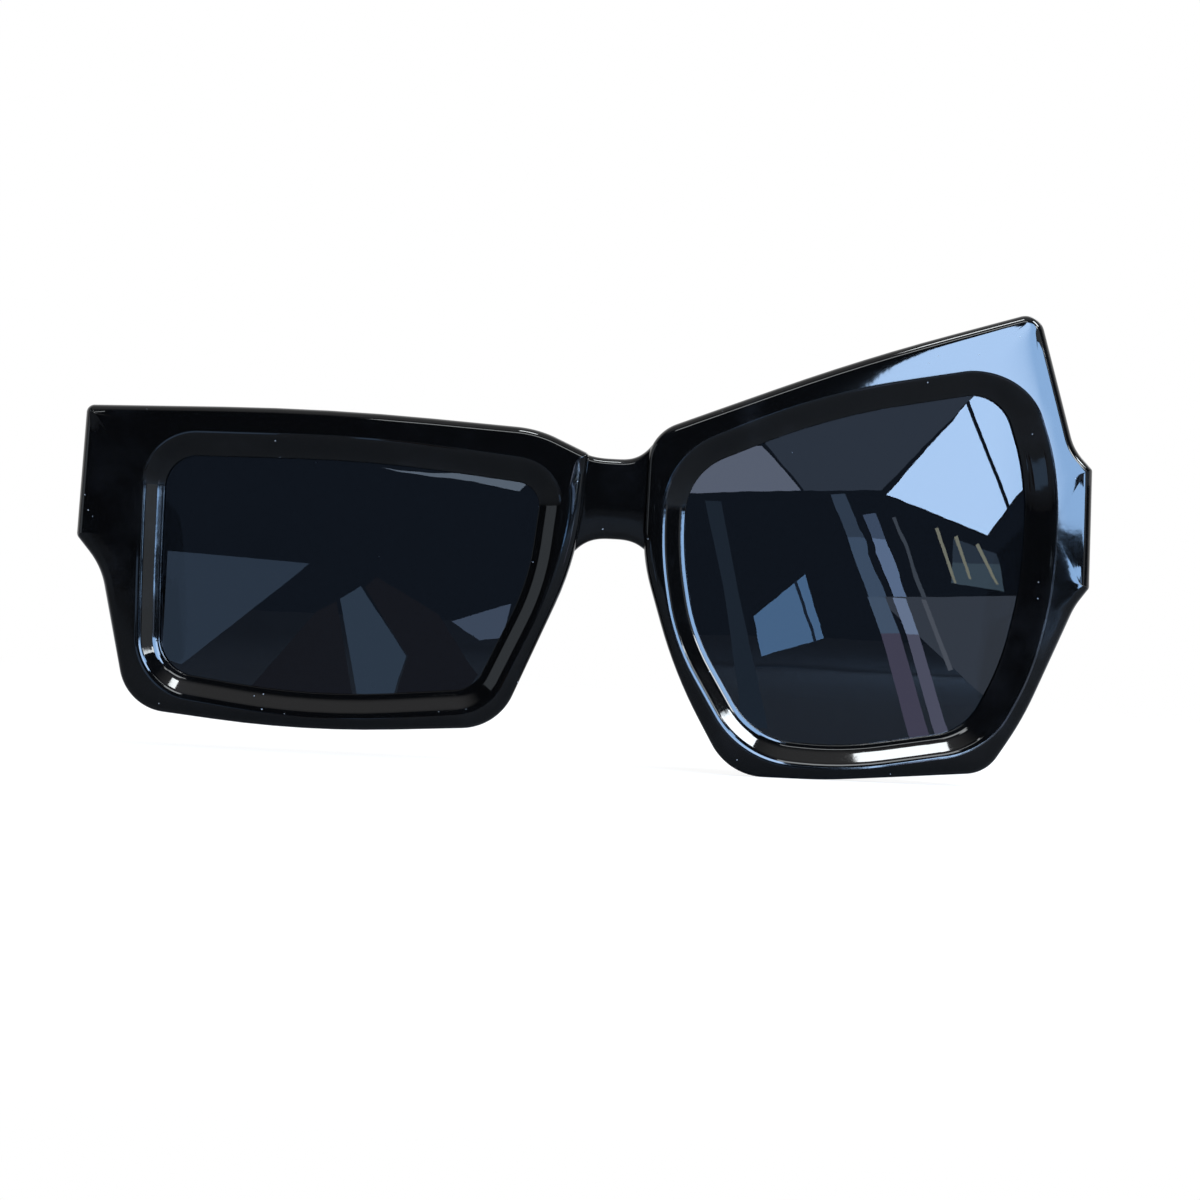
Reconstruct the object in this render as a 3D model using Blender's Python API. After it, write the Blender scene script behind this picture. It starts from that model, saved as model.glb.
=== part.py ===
"""Asymmetric novelty sunglasses in glossy black plastic.

One rim is near rectangular, the other is drawn up to a peak. A low bridge joins them, tinted
lenses sit in grooves, and broad temples fold on barrel hinges.

Metres, +Z up. The front faces -Y and the open temples run towards +Y. Names use the wearer's
sides, so the wearer's right is at -X.
"""
import cmath
import math

import bmesh
import bpy
from mathutils import Matrix, Vector

# Front, seen square on
RIGHT_RIM_WIDTH = 0.0748
RIGHT_RIM_HEIGHT = 0.0468
LEFT_RIM_WIDTH = 0.0664
LEFT_RIM_HEIGHT = 0.0698
LEFT_RIM_DROP = 0.0039
BRIDGE_SPAN = 0.0089
FRONT_THICKNESS = 0.0060
FRONT_BEND_RADIUS = 0.480

# Section of a rim
EDGE_ROUND = 0.0014
BACK_ROUND = 0.0010
FACE_CROWN_SHARE = 0.010
CHAMFER_WIDTH = 0.0021
CHAMFER_FLARE = 0.0012
CHAMFER_TOP_ROUND = 0.0004
CHAMFER_DEPTH = 0.0017
LIP_WIDTH = 0.0009
LIP_DEPTH = 0.0020
HOLE_BACK_ROUND = 0.0007

# Lenses and the groove that holds them
LENS_THICKNESS = 0.0020
LENS_FRONT_DEPTH = 0.0027
LENS_SEAT = 0.0008
GAP = 0.0003
LENS_RING_SHARES = (0.92, 0.60, 0.25, 0.0)

# Bridge between the rims
BRIDGE_RECESS = 0.0012
BRIDGE_TOP = 0.0456
BRIDGE_TOP_RISE_RIGHT = 0.0005
BRIDGE_TOP_RISE_LEFT = 0.0015
BRIDGE_RISE_END_SHARE = 1.17
ARCH_APEX = 0.0338
ARCH_DROP = 0.0011
BRIDGE_FRONT_ROUND = 0.0012
BRIDGE_OVERLAP = 0.0024
BRIDGE_BACK_STEP = 0.0001
BRIDGE_STATIONS = 17

# Nose pads, glued behind the rims
PAD_LENGTH = 0.0125
PAD_WIDTH = 0.0036
PAD_HEIGHT = 0.0044
PAD_LEAN = 0.0009
PAD_INSET = 0.0029
PAD_END_SHARE = 0.04
PAD_STATIONS = 13
PAD_SECTION_STEPS = 8

# Temples
TEMPLE_LENGTH = 0.1368
TEMPLE_INSET = 0.00045
TEMPLE_END_HEIGHT = 0.0136
TEMPLE_FRONT_HEIGHT = 0.0163
TEMPLE_END_REACH = 0.0080
TEMPLE_BEND_HEIGHT = 0.0126
TEMPLE_TIP_HEIGHT = 0.0080
TEMPLE_THICKNESS = 0.0042
TEMPLE_TIP_THICKNESS = 0.0034
TEMPLE_ROUND = 0.0012
WIDEST_ROUND_SHARE = 0.45
TEMPLE_BEND_RADIUS = 0.0240
TEMPLE_TIP_STRAIGHT = 0.0170
TEMPLE_TIP_ROUND = 0.0040
TEMPLE_FALL_ANGLE = math.radians(3.4)
TEMPLE_TIP_ANGLE = math.radians(41.0)

# Steel wire inside each temple
WIRE_RADIUS = 0.00065
WIRE_GAP = 0.0002
WIRE_FROM_OUTSIDE = 0.0018
WIRE_END_MARGIN = 0.0100

# Hinges
HINGE_CENTRE_HEIGHT = 0.0368
BARREL_RADIUS = 0.0013
BARREL_HEIGHT = 0.0016
BARREL_PLAY = 0.0001
BARREL_COUNT = 5
BARREL_STANDOFF = 0.0007
BARREL_FROM_TEMPLE = 0.0004
BORE_PLAY = 0.0001
LEAF_THICKNESS = 0.0010
LEAF_HEIGHT = 0.0090
FRONT_LEAF_LENGTH = 0.0060
TEMPLE_LEAF_LENGTH = 0.0085
SCREW_SHAFT_RADIUS = 0.00065
SCREW_HEAD_RADIUS = 0.0012
SCREW_HEAD_HEIGHT = 0.0006
SCREW_SLOT_WIDTH = 0.0003
SCREW_SLOT_DEPTH = 0.0003

# How finely round stretches are divided
STRAIGHT_STEP = 0.0075
BEND_STEP_ANGLE = math.radians(14.0)
LEAST_TURN = 1e-4
LEAST_ROUND = 0.00015
SHARP_ANGLE = math.radians(38.0)
ROUND_STEPS = 2
EDGE_ROUND_STEPS = 3
FACE_STEPS = 3
TEMPLE_STRAIGHT_STEPS = 6
TEMPLE_BEND_STEPS = 7
BARREL_STEPS = 10
BORE_SIDES = 16
WIRE_SIDES = 8
TIP_STEPS = 4
TIP_END_SHARE = 0.97
CUT_OVERRUN = 0.0010

# Corners of each outline in shares of its rim's box, then the share of the shorter half side
# that the corner's arc takes. They run anticlockwise as seen from the front. A rim's edge and
# its hole have the same number of corners, and corners of like number face each other.
RIGHT_EDGE_SHARES = (
    (0.008, 0.985, 0.12),
    (0.000, 0.570, 0.15),
    (0.052, 0.475, 0.95),
    (0.117, 0.037, 0.52),
    (0.470, -0.012, 1.00),
    (0.852, 0.032, 0.38),
    (0.991, 0.571, 0.95),
    (1.006, 0.902, 0.12),
    (0.904, 0.973, 0.75),
    (0.490, 1.006, 1.00),
)
RIGHT_HOLE_SHARES = (
    (0.172, 0.838, 0.85),
    (0.172, 0.600, 0.50),
    (0.173, 0.450, 0.50),
    (0.178, 0.158, 0.72),
    (0.487, 0.097, 1.00),
    (0.801, 0.147, 0.30),
    (0.898, 0.494, 0.90),
    (0.914, 0.754, 1.00),
    (0.888, 0.801, 1.00),
    (0.586, 0.848, 1.00),
)
LEFT_EDGE_SHARES = (
    (0.002, 0.709, 0.47),
    (0.001, 0.447, 0.50),
    (0.084, 0.209, 0.90),
    (0.214, 0.000, 0.72),
    (0.430, 0.000, 0.50),
    (0.787, 0.030, 0.60),
    (0.864, 0.146, 0.90),
    (0.969, 0.391, 0.80),
    (1.000, 0.431, 0.15),
    (0.994, 0.682, 0.15),
    (0.950, 0.724, 0.90),
    (0.857, 1.011, 0.28),
    (0.468, 0.891, 1.00),
)
LEFT_HOLE_SHARES = (
    (0.094, 0.632, 1.00),
    (0.090, 0.470, 0.90),
    (0.125, 0.297, 0.90),
    (0.266, 0.081, 0.90),
    (0.461, 0.070, 0.90),
    (0.736, 0.117, 0.80),
    (0.810, 0.255, 0.90),
    (0.842, 0.403, 0.90),
    (0.849, 0.496, 0.90),
    (0.848, 0.609, 0.90),
    (0.834, 0.696, 0.90),
    (0.781, 0.839, 1.00),
    (0.401, 0.765, 1.00),
)

# The nose pad lies beside the rim's edge between two corners, counted from the first one in
# the table as nought, and starts at this share of the way
RIGHT_PAD_CORNER_COUNTS = (6, 5)
LEFT_PAD_CORNER_COUNTS = (1, 2)
RIGHT_PAD_START_SHARE = 0.15
LEFT_PAD_START_SHARE = 0.12

# Colour, roughness, metal share and transmission share of each finish
BLACK_PLASTIC = ((0.006, 0.006, 0.007), 0.07, 0.0, 0.0)
TINTED_LENS = ((0.030, 0.045, 0.075), 0.03, 0.0, 0.85)
HINGE_STEEL = ((0.62, 0.61, 0.59), 0.28, 1.0, 0.0)

# Places worked out from the sizes above
FRONT_WIDTH = RIGHT_RIM_WIDTH + BRIDGE_SPAN + LEFT_RIM_WIDTH
RIGHT_RIM_START = -FRONT_WIDTH / 2
BRIDGE_START = RIGHT_RIM_START + RIGHT_RIM_WIDTH
LEFT_RIM_START = BRIDGE_START + BRIDGE_SPAN
RIGHT_BOX = (RIGHT_RIM_START, LEFT_RIM_DROP, RIGHT_RIM_WIDTH, RIGHT_RIM_HEIGHT)
LEFT_BOX = (LEFT_RIM_START, 0.0, LEFT_RIM_WIDTH, LEFT_RIM_HEIGHT)
TEMPLE_OUTER = FRONT_WIDTH / 2 - TEMPLE_INSET
TEMPLE_INNER = TEMPLE_OUTER - TEMPLE_THICKNESS
TEMPLE_ARC = TEMPLE_BEND_RADIUS * (TEMPLE_TIP_ANGLE - TEMPLE_FALL_ANGLE)
TEMPLE_STRAIGHT = TEMPLE_LENGTH - TEMPLE_ARC - TEMPLE_TIP_STRAIGHT - TEMPLE_TIP_ROUND
HINGE_X = TEMPLE_INNER - BARREL_RADIUS - BARREL_FROM_TEMPLE
BORE_RADIUS = SCREW_SHAFT_RADIUS + BORE_PLAY
KNUCKLE_PITCH = BARREL_HEIGHT + BARREL_PLAY
STACK_HEIGHT = BARREL_COUNT * KNUCKLE_PITCH - BARREL_PLAY
SIDES = (("right", -1), ("left", 1))


def bend(x):
    """How far the front has bent back at a place across it."""
    return x * x / (2 * FRONT_BEND_RADIUS)


HINGE_Y = bend(HINGE_X) + FRONT_THICKNESS + BARREL_RADIUS + BARREL_STANDOFF
TEMPLE_START_Y = bend(TEMPLE_INNER) + FRONT_THICKNESS + GAP


# Scene and materials

def clear_scene():
    """Removes whatever the scene holds."""
    for thing in list(bpy.data.objects):
        bpy.data.objects.remove(thing, do_unlink=True)


def coated(piece, finish):
    """Gives a piece a Principled material of its own, with the finish's colour and gloss."""
    colour, roughness, metallic, transmission = finish
    made = bpy.data.materials.new(piece.name + "_finish")
    made.use_nodes = True
    shader = made.node_tree.nodes["Principled BSDF"]
    shader.inputs["Base Color"].default_value = (*colour, 1.0)
    shader.inputs["Roughness"].default_value = roughness
    shader.inputs["Metallic"].default_value = metallic
    shader.inputs["Transmission Weight"].default_value = transmission
    piece.data.materials.clear()
    piece.data.materials.append(made)
    return piece


# Outlines, as complex numbers with x across and z up

def corners_of(shares, rim_box):
    """Turns shares of a rim's box into corner places with the softness of each."""
    start, bottom, width, height = rim_box
    return [(complex(start + x * width, bottom + z * height), soft) for x, z, soft in shares]


def corner_turn(corners, i):
    """Ways in and out of a corner, and the angle turned there."""
    here = corners[i][0]
    before = corners[i - 1][0]
    after = corners[(i + 1) % len(corners)][0]
    way_in = (here - before) / abs(here - before)
    way_out = (after - here) / abs(after - here)
    turn = cmath.phase(way_out / way_in)
    if abs(turn) < LEAST_TURN:
        turn = LEAST_TURN
    return way_in, way_out, turn


def corner_arc(corners, i, grow):
    """Start, centre, turn and end of the arc at a corner of the outline grown outwards."""
    here, soft = corners[i]
    way_in, way_out, turn = corner_turn(corners, i)
    side = math.copysign(1, turn)
    slope = math.tan(abs(turn) / 2)
    nearest = min(abs(here - corners[i - 1][0]), abs(corners[(i + 1) % len(corners)][0] - here))
    radius = max(soft * nearest / 2 / slope + side * grow, LEAST_ROUND)
    out_in = -1j * way_in
    out_out = -1j * way_out
    moved = here + grow * (out_in + out_out) / (1 + (out_in * out_out.conjugate()).real)
    start = moved - way_in * radius * slope
    return start, start + way_in * 1j * side * radius, turn, moved + way_out * radius * slope


def step_counts(edge, hole):
    """Divisions of each corner's arc and of the straight after it, shared by edge and hole."""
    counts = []
    total = len(edge)
    for i in range(total):
        turn = max(abs(corner_turn(edge, i)[2]), abs(corner_turn(hole, i)[2]))
        end = corner_arc(edge, i, 0.0)[3]
        following = corner_arc(edge, (i + 1) % total, 0.0)[0]
        straight = max(1, math.ceil(abs(following - end) / STRAIGHT_STEP))
        counts.append((1 + math.ceil(turn / BEND_STEP_ANGLE), straight))
    return counts


def outline(corners, counts, grow=0.0):
    """Closed outline with its corners bent to arcs that keep their centres when it grows."""
    arcs = [corner_arc(corners, i, grow) for i in range(len(corners))]
    points = []
    for i, (start, centre, turn, end) in enumerate(arcs):
        bend_steps, straight_steps = counts[i]
        for k in range(bend_steps + 1):
            points.append(centre + (start - centre) * cmath.exp(1j * turn * k / bend_steps))
        following = arcs[(i + 1) % len(arcs)][0]
        for k in range(1, straight_steps):
            points.append(end + (following - end) * k / straight_steps)
    return points


def blended(one, other, share):
    """Outline between two others, point by point."""
    return [a + (b - a) * share for a, b in zip(one, other)]


def placed(points, depth):
    """Outline set at a depth behind the front's face and bent with it."""
    return [Vector((p.real, depth + bend(p.real), p.imag)) for p in points]


# Meshes

def skinned(name, rings, closed=False):
    """Body whose skin runs from ring to ring, capped at both ends or joined into a loop."""
    mesh = bmesh.new()
    rows = [[mesh.verts.new(point) for point in ring] for ring in rings]
    pairs = list(zip(rows, rows[1:]))
    if closed:
        pairs.append((rows[-1], rows[0]))
    else:
        mesh.faces.new(rows[0])
        mesh.faces.new(rows[-1])
    for near, far in pairs:
        for i in range(len(near)):
            j = (i + 1) % len(near)
            mesh.faces.new((near[i], near[j], far[j], far[i]))
    return finished(name, mesh)


def finished(name, mesh):
    """Object made from a bmesh, normals out, smooth except at sharp edges."""
    bmesh.ops.recalc_face_normals(mesh, faces=mesh.faces)
    data = bpy.data.meshes.new(name)
    mesh.to_mesh(data)
    mesh.free()
    made = bpy.data.objects.new(name, data)
    bpy.context.scene.collection.objects.link(made)
    smoothed(made)
    return made


def smoothed(thing):
    """Smooth shading, sharp where faces meet steeply."""
    thing.data.shade_smooth()
    thing.data.set_sharp_from_angle(angle=SHARP_ANGLE)


def block(name, low, high):
    """Block between two opposite corners."""
    mesh = bmesh.new()
    bmesh.ops.create_cube(mesh, size=1.0)
    size = Vector(high) - Vector(low)
    middle = (Vector(high) + Vector(low)) / 2
    bmesh.ops.transform(mesh, matrix=Matrix.Translation(middle) @ Matrix.Diagonal((*size, 1.0)),
                        verts=mesh.verts)
    return finished(name, mesh)


def prism(name, profile, low, high):
    """Upright body with one profile, given as places across and back."""
    rings = [[Vector((x, y, z)) for x, y in profile] for z in (low, high)]
    return skinned(name, rings)


def circle(centre, radius, sides):
    """Profile of a round bar."""
    turns = [2 * math.pi * k / sides for k in range(sides)]
    return [(centre[0] + radius * math.cos(a), centre[1] + radius * math.sin(a)) for a in turns]


def combined(body, tool, operation):
    """Joins or cuts one body with another, which is used up."""
    step = body.modifiers.new(operation.title(), "BOOLEAN")
    step.operation = operation
    step.solver = "EXACT"
    step.object = tool
    bpy.context.view_layer.update()
    seen = body.evaluated_get(bpy.context.evaluated_depsgraph_get())
    result = bpy.data.meshes.new_from_object(seen)
    body.modifiers.clear()
    body.data = result
    bpy.data.objects.remove(tool, do_unlink=True)
    smoothed(body)
    return body


# Front

def flare_weights(points):
    """How squarely each point of an outline faces the wearer's left, from 0 to 1."""
    weights = []
    total = len(points)
    for i in range(total):
        way = points[(i + 1) % total] - points[i - 1]
        outward = -1j * way / abs(way)
        weights.append(max(0.0, outward.real) ** 2)
    return weights


def rim(name, edge, hole, flare):
    """One rim as a loop of sections: rounded edge, crowned face, chamfer, lip, groove, back."""
    counts = step_counts(edge, hole)
    weights = flare_weights(outline(hole, counts))
    groove_front = LENS_FRONT_DEPTH - GAP
    groove_back = LENS_FRONT_DEPTH + LENS_THICKNESS + GAP

    def chamfer_ring(grow):
        narrow = outline(hole, counts, grow)
        wide = outline(hole, counts, grow + flare)
        return [a + (b - a) * w for a, b, w in zip(narrow, wide, weights)]

    rings = []
    for k in range(EDGE_ROUND_STEPS + 1):
        angle = math.pi / 2 * k / EDGE_ROUND_STEPS
        inset = EDGE_ROUND * (1 - math.cos(angle))
        rings.append(placed(outline(edge, counts, -inset), EDGE_ROUND * (1 - math.sin(angle))))
    face_outer = outline(edge, counts, -EDGE_ROUND)
    face_inner = chamfer_ring(LIP_WIDTH + CHAMFER_WIDTH + CHAMFER_TOP_ROUND)
    for k in range(1, FACE_STEPS):
        middle = blended(face_outer, face_inner, k / FACE_STEPS)
        ring = placed(middle, 0.0)
        for point, a, b in zip(ring, face_outer, face_inner):
            point.y -= FACE_CROWN_SHARE * abs(a - b)
        rings.append(ring)
    rings.append(placed(face_inner, 0.0))
    rings.append(placed(chamfer_ring(LIP_WIDTH + CHAMFER_WIDTH - CHAMFER_TOP_ROUND),
                        CHAMFER_TOP_ROUND * CHAMFER_DEPTH / CHAMFER_WIDTH))
    rings.append(placed(outline(hole, counts, LIP_WIDTH), CHAMFER_DEPTH))
    rings.append(placed(outline(hole, counts), LIP_DEPTH))
    rings.append(placed(outline(hole, counts), groove_front))
    rings.append(placed(outline(hole, counts, LENS_SEAT + GAP), groove_front))
    rings.append(placed(outline(hole, counts, LENS_SEAT + GAP), groove_back))
    rings.append(placed(outline(hole, counts), groove_back))
    rings.append(placed(outline(hole, counts, HOLE_BACK_ROUND), FRONT_THICKNESS))
    back_inner = outline(hole, counts, HOLE_BACK_ROUND)
    back_outer = outline(edge, counts, -BACK_ROUND)
    rings.append(placed(blended(back_inner, back_outer, 1 / 2), FRONT_THICKNESS))
    rings.append(placed(back_outer, FRONT_THICKNESS))
    middle_angle = math.pi / 4
    rings.append(placed(outline(edge, counts, -BACK_ROUND * (1 - math.cos(middle_angle))),
                        FRONT_THICKNESS - BACK_ROUND * (1 - math.sin(middle_angle))))
    rings.append(placed(outline(edge, counts), FRONT_THICKNESS - BACK_ROUND))
    return skinned(name, rings, closed=True)


def bridge(name):
    """Low saddle between the rims: a rounded bar with a dipped top over a nose arch."""
    rings = []
    half = BRIDGE_SPAN / 2
    for k in range(BRIDGE_STATIONS):
        x = (half + BRIDGE_OVERLAP) * (2 * k / (BRIDGE_STATIONS - 1) - 1)
        offset = abs(x) / half
        rise = BRIDGE_TOP_RISE_LEFT if x > 0 else BRIDGE_TOP_RISE_RIGHT
        top = BRIDGE_TOP + rise * min(offset, BRIDGE_RISE_END_SHARE) ** 3
        bottom = ARCH_APEX - ARCH_DROP * offset ** 3
        rings.append(bridge_section(BRIDGE_START + half + x, bottom, top))
    return skinned(name, rings)


def bridge_section(x, bottom, top):
    """Rounded rectangle across the bridge at one place."""
    front = bend(x) + BRIDGE_RECESS
    back = bend(x) + FRONT_THICKNESS - BRIDGE_BACK_STEP
    centres = (
        (front + BRIDGE_FRONT_ROUND, top - BRIDGE_FRONT_ROUND, BRIDGE_FRONT_ROUND),
        (back - BACK_ROUND, top - BACK_ROUND, BACK_ROUND),
        (back - BACK_ROUND, bottom + BACK_ROUND, BACK_ROUND),
        (front + BRIDGE_FRONT_ROUND, bottom + BRIDGE_FRONT_ROUND, BRIDGE_FRONT_ROUND),
    )
    ring = []
    for quarter, (y, z, radius) in enumerate(centres):
        for k in range(ROUND_STEPS + 1):
            angle = math.pi - math.pi / 2 * (quarter + k / ROUND_STEPS)
            ring.append(Vector((x, y + radius * math.cos(angle), z + radius * math.sin(angle))))
    return ring


def front_frame():
    """Both rims and the bridge in one piece, with a seat for each hinge leaf."""
    body = rim("front_frame", corners_of(RIGHT_EDGE_SHARES, RIGHT_BOX),
               corners_of(RIGHT_HOLE_SHARES, RIGHT_BOX), 0.0)
    peaked = rim("peaked_rim", corners_of(LEFT_EDGE_SHARES, LEFT_BOX),
                 corners_of(LEFT_HOLE_SHARES, LEFT_BOX), CHAMFER_FLARE)
    combined(body, bridge("bridge"), "UNION")
    combined(body, peaked, "UNION")
    for side_name, side in SIDES:
        seat = front_leaf_plate(side_name + "_seat", side, GAP)
        combined(body, seat, "DIFFERENCE")
    return body


def lens(name, edge_shares, hole_shares, rim_box):
    """Flat-ground lens that fills the groove and bends with the front."""
    edge = corners_of(edge_shares, rim_box)
    hole = corners_of(hole_shares, rim_box)
    counts = step_counts(edge, hole)
    rim_line = outline(hole, counts, LENS_SEAT)
    centre = sum(rim_line) / len(rim_line)
    rings = []
    for depth, shares in ((LENS_FRONT_DEPTH, LENS_RING_SHARES),
                          (LENS_FRONT_DEPTH + LENS_THICKNESS, LENS_RING_SHARES[::-1])):
        for share in shares:
            rings.append(placed(blended(rim_line, [centre] * len(rim_line), share), depth))
    return skinned(name, rings)


# Nose pads

def nose_pad(name, edge_shares, rim_box, corner_counts, start_share):
    """Pebble behind the rim's nose side, widest half way down and leaning to the nose."""
    corners = corners_of(edge_shares, rim_box)
    first = corners[corner_counts[0]][0]
    last = corners[corner_counts[1]][0]
    way = (last - first) / abs(last - first)
    toward_nose = way * (-1j if corner_counts[0] < corner_counts[1] else 1j)
    start = first + (last - first) * start_share - toward_nose * PAD_INSET
    rings = []
    for k in range(PAD_STATIONS):
        along = k / (PAD_STATIONS - 1)
        swell = math.sin(math.pi * (PAD_END_SHARE + (1 - 2 * PAD_END_SHARE) * along))
        reach = math.sqrt(swell)
        ring = []
        for step in range(PAD_SECTION_STEPS + 1):
            angle = math.pi * step / PAD_SECTION_STEPS
            rise = PAD_HEIGHT * reach * math.sin(angle)
            shift = PAD_WIDTH / 2 * reach * math.cos(angle) + PAD_LEAN * math.sin(angle)
            place = start + way * PAD_LENGTH * along + toward_nose * shift
            ring.append(Vector((place.real, bend(place.real) + FRONT_THICKNESS + GAP + rise,
                                place.imag)))
        rings.append(ring)
    return skinned(name, rings)


# Temples

def temple_path(length):
    """Middle of the temple at a length along it: back, up, and the way it points."""
    fall = -TEMPLE_FALL_ANGLE
    drop = TEMPLE_TIP_ANGLE - TEMPLE_FALL_ANGLE
    arc = TEMPLE_BEND_RADIUS * drop
    straight = min(length, TEMPLE_STRAIGHT)
    y = straight * math.cos(fall)
    z = straight * math.sin(fall)
    turned = min(max(length - TEMPLE_STRAIGHT, 0.0), arc) / TEMPLE_BEND_RADIUS
    y += TEMPLE_BEND_RADIUS * (math.sin(turned - fall) - math.sin(-fall))
    z -= TEMPLE_BEND_RADIUS * (math.cos(-fall) - math.cos(turned - fall))
    rest = max(length - TEMPLE_STRAIGHT - arc, 0.0)
    angle = fall - turned
    return y + rest * math.cos(angle), z + rest * math.sin(angle), angle


def temple_lengths():
    """Lengths along the temple where its section is drawn."""
    beyond_end = TEMPLE_STRAIGHT - TEMPLE_END_REACH
    marks = [0.0]
    marks += [TEMPLE_END_REACH + beyond_end * k / TEMPLE_STRAIGHT_STEPS
              for k in range(TEMPLE_STRAIGHT_STEPS)]
    marks += [TEMPLE_STRAIGHT + TEMPLE_ARC * k / TEMPLE_BEND_STEPS
              for k in range(TEMPLE_BEND_STEPS + 1)]
    tip_round_start = TEMPLE_LENGTH - TEMPLE_TIP_ROUND
    marks += [tip_round_start - TEMPLE_TIP_STRAIGHT / 2, tip_round_start]
    for k in range(1, TIP_STEPS + 1):
        share = math.sin(math.pi / 2 * k / TIP_STEPS)
        marks.append(tip_round_start + TEMPLE_TIP_ROUND * share * TIP_END_SHARE)
    return marks


def temple_size(length):
    """Height and thickness of the temple at a length along it."""
    if length < TEMPLE_END_REACH:
        share = length / TEMPLE_END_REACH
        height = TEMPLE_END_HEIGHT + (TEMPLE_FRONT_HEIGHT - TEMPLE_END_HEIGHT) * share
    elif length < TEMPLE_STRAIGHT:
        share = (length - TEMPLE_END_REACH) / (TEMPLE_STRAIGHT - TEMPLE_END_REACH)
        height = TEMPLE_FRONT_HEIGHT + (TEMPLE_BEND_HEIGHT - TEMPLE_FRONT_HEIGHT) * share
    else:
        share = (length - TEMPLE_STRAIGHT) / (TEMPLE_LENGTH - TEMPLE_STRAIGHT)
        height = TEMPLE_BEND_HEIGHT + (TEMPLE_TIP_HEIGHT - TEMPLE_BEND_HEIGHT) * share
    thickness = TEMPLE_THICKNESS + (TEMPLE_TIP_THICKNESS - TEMPLE_THICKNESS) * length / TEMPLE_LENGTH
    past_round = max(length - TEMPLE_LENGTH + TEMPLE_TIP_ROUND, 0.0) / TEMPLE_TIP_ROUND
    shrink = math.sqrt(1 - past_round ** 2)
    return height * shrink, thickness * shrink, thickness


def rounded_section(height, thickness):
    """Rounded rectangle as pairs of across and up, about its middle."""
    radius = min(TEMPLE_ROUND, thickness * WIDEST_ROUND_SHARE, height * WIDEST_ROUND_SHARE)
    ring = []
    for quarter, (to_side, to_top) in enumerate(((1, 1), (-1, 1), (-1, -1), (1, -1))):
        for k in range(ROUND_STEPS + 1):
            angle = math.pi / 2 * (quarter + k / ROUND_STEPS)
            ring.append((to_side * (thickness / 2 - radius) + radius * math.cos(angle),
                         to_top * (height / 2 - radius) + radius * math.sin(angle)))
    return ring


def temple(side_name, side):
    """Broad arm with a flat outer side, thinning to a rounded tip that is bent down."""
    rings = []
    for length in temple_lengths():
        y, z, angle = temple_path(length)
        height, thickness, full = temple_size(length)
        middle = TEMPLE_OUTER - full / 2
        ring = []
        for across, up in rounded_section(height, thickness):
            x = middle + across
            place = Vector((side * x, TEMPLE_START_Y + y - up * math.sin(angle),
                            HINGE_CENTRE_HEIGHT + z + up * math.cos(angle)))
            if length == 0.0:
                place.y = bend(x) + FRONT_THICKNESS + GAP
                place.z = HINGE_CENTRE_HEIGHT + up
            ring.append(place)
        rings.append(ring)
    body = skinned(side_name + "_temple", rings)
    seat = temple_leaf_plate(side_name + "_temple_seat", side, GAP)
    combined(body, seat, "DIFFERENCE")
    bore = wire(side_name + "_wire_bore", side, WIRE_RADIUS + WIRE_GAP, -CUT_OVERRUN,
                TEMPLE_LENGTH - WIRE_END_MARGIN + WIRE_GAP)
    return combined(body, bore, "DIFFERENCE")


def wire(name, side, radius, first, last):
    """Round bar along the middle of a temple between two lengths along it."""
    rings = []
    for length in [first] + [mark for mark in temple_lengths() if first < mark < last] + [last]:
        y, z, angle = temple_path(max(length, 0.0))
        y += min(length, 0.0)
        ring = []
        for across, up in circle((0.0, 0.0), radius, WIRE_SIDES):
            ring.append(Vector((side * (TEMPLE_OUTER - WIRE_FROM_OUTSIDE + across),
                                TEMPLE_START_Y + y - up * math.sin(angle),
                                HINGE_CENTRE_HEIGHT + z + up * math.cos(angle))))
        rings.append(ring)
    return skinned(name, rings)


def core_wire(side_name, side):
    """Steel wire that starts just inside the temple's end face."""
    end_face = bend(TEMPLE_OUTER - WIRE_FROM_OUTSIDE) - bend(TEMPLE_INNER)
    return wire(side_name + "_temple_core_wire", side, WIRE_RADIUS, end_face + GAP,
                TEMPLE_LENGTH - WIRE_END_MARGIN)


# Hinges

def front_leaf_plate(name, side, gap):
    """Plate along the back of an end piece, or with a gap the seat that it lies in."""
    start = HINGE_X - BARREL_RADIUS
    middle = start + FRONT_LEAF_LENGTH / 2
    slope = math.atan(middle / FRONT_BEND_RADIUS)
    half_length = FRONT_LEAF_LENGTH / 2 + gap
    proud = CUT_OVERRUN if gap else 0.0
    plate = block(name, (-half_length, -LEAF_THICKNESS - gap, -LEAF_HEIGHT / 2 - gap),
                  (half_length, proud, LEAF_HEIGHT / 2 + gap))
    turn = Matrix.Rotation(side * slope, 4, "Z")
    place = Matrix.Translation((side * middle, bend(middle) + FRONT_THICKNESS, HINGE_CENTRE_HEIGHT))
    plate.data.transform(place @ turn)
    return plate


def temple_leaf_plate(name, side, gap):
    """Plate in the inner side of a temple, or with a gap the seat that it lies in."""
    proud = CUT_OVERRUN if gap else 0.0
    start = HINGE_Y - BARREL_RADIUS
    end = start + TEMPLE_LEAF_LENGTH + gap
    near = side * (TEMPLE_INNER - proud)
    far = side * (TEMPLE_INNER + LEAF_THICKNESS + gap)
    low = HINGE_CENTRE_HEIGHT - LEAF_HEIGHT / 2 - gap
    high = HINGE_CENTRE_HEIGHT + LEAF_HEIGHT / 2 + gap
    return block(name, (min(near, far), start - proud, low), (max(near, far), end, high))


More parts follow.
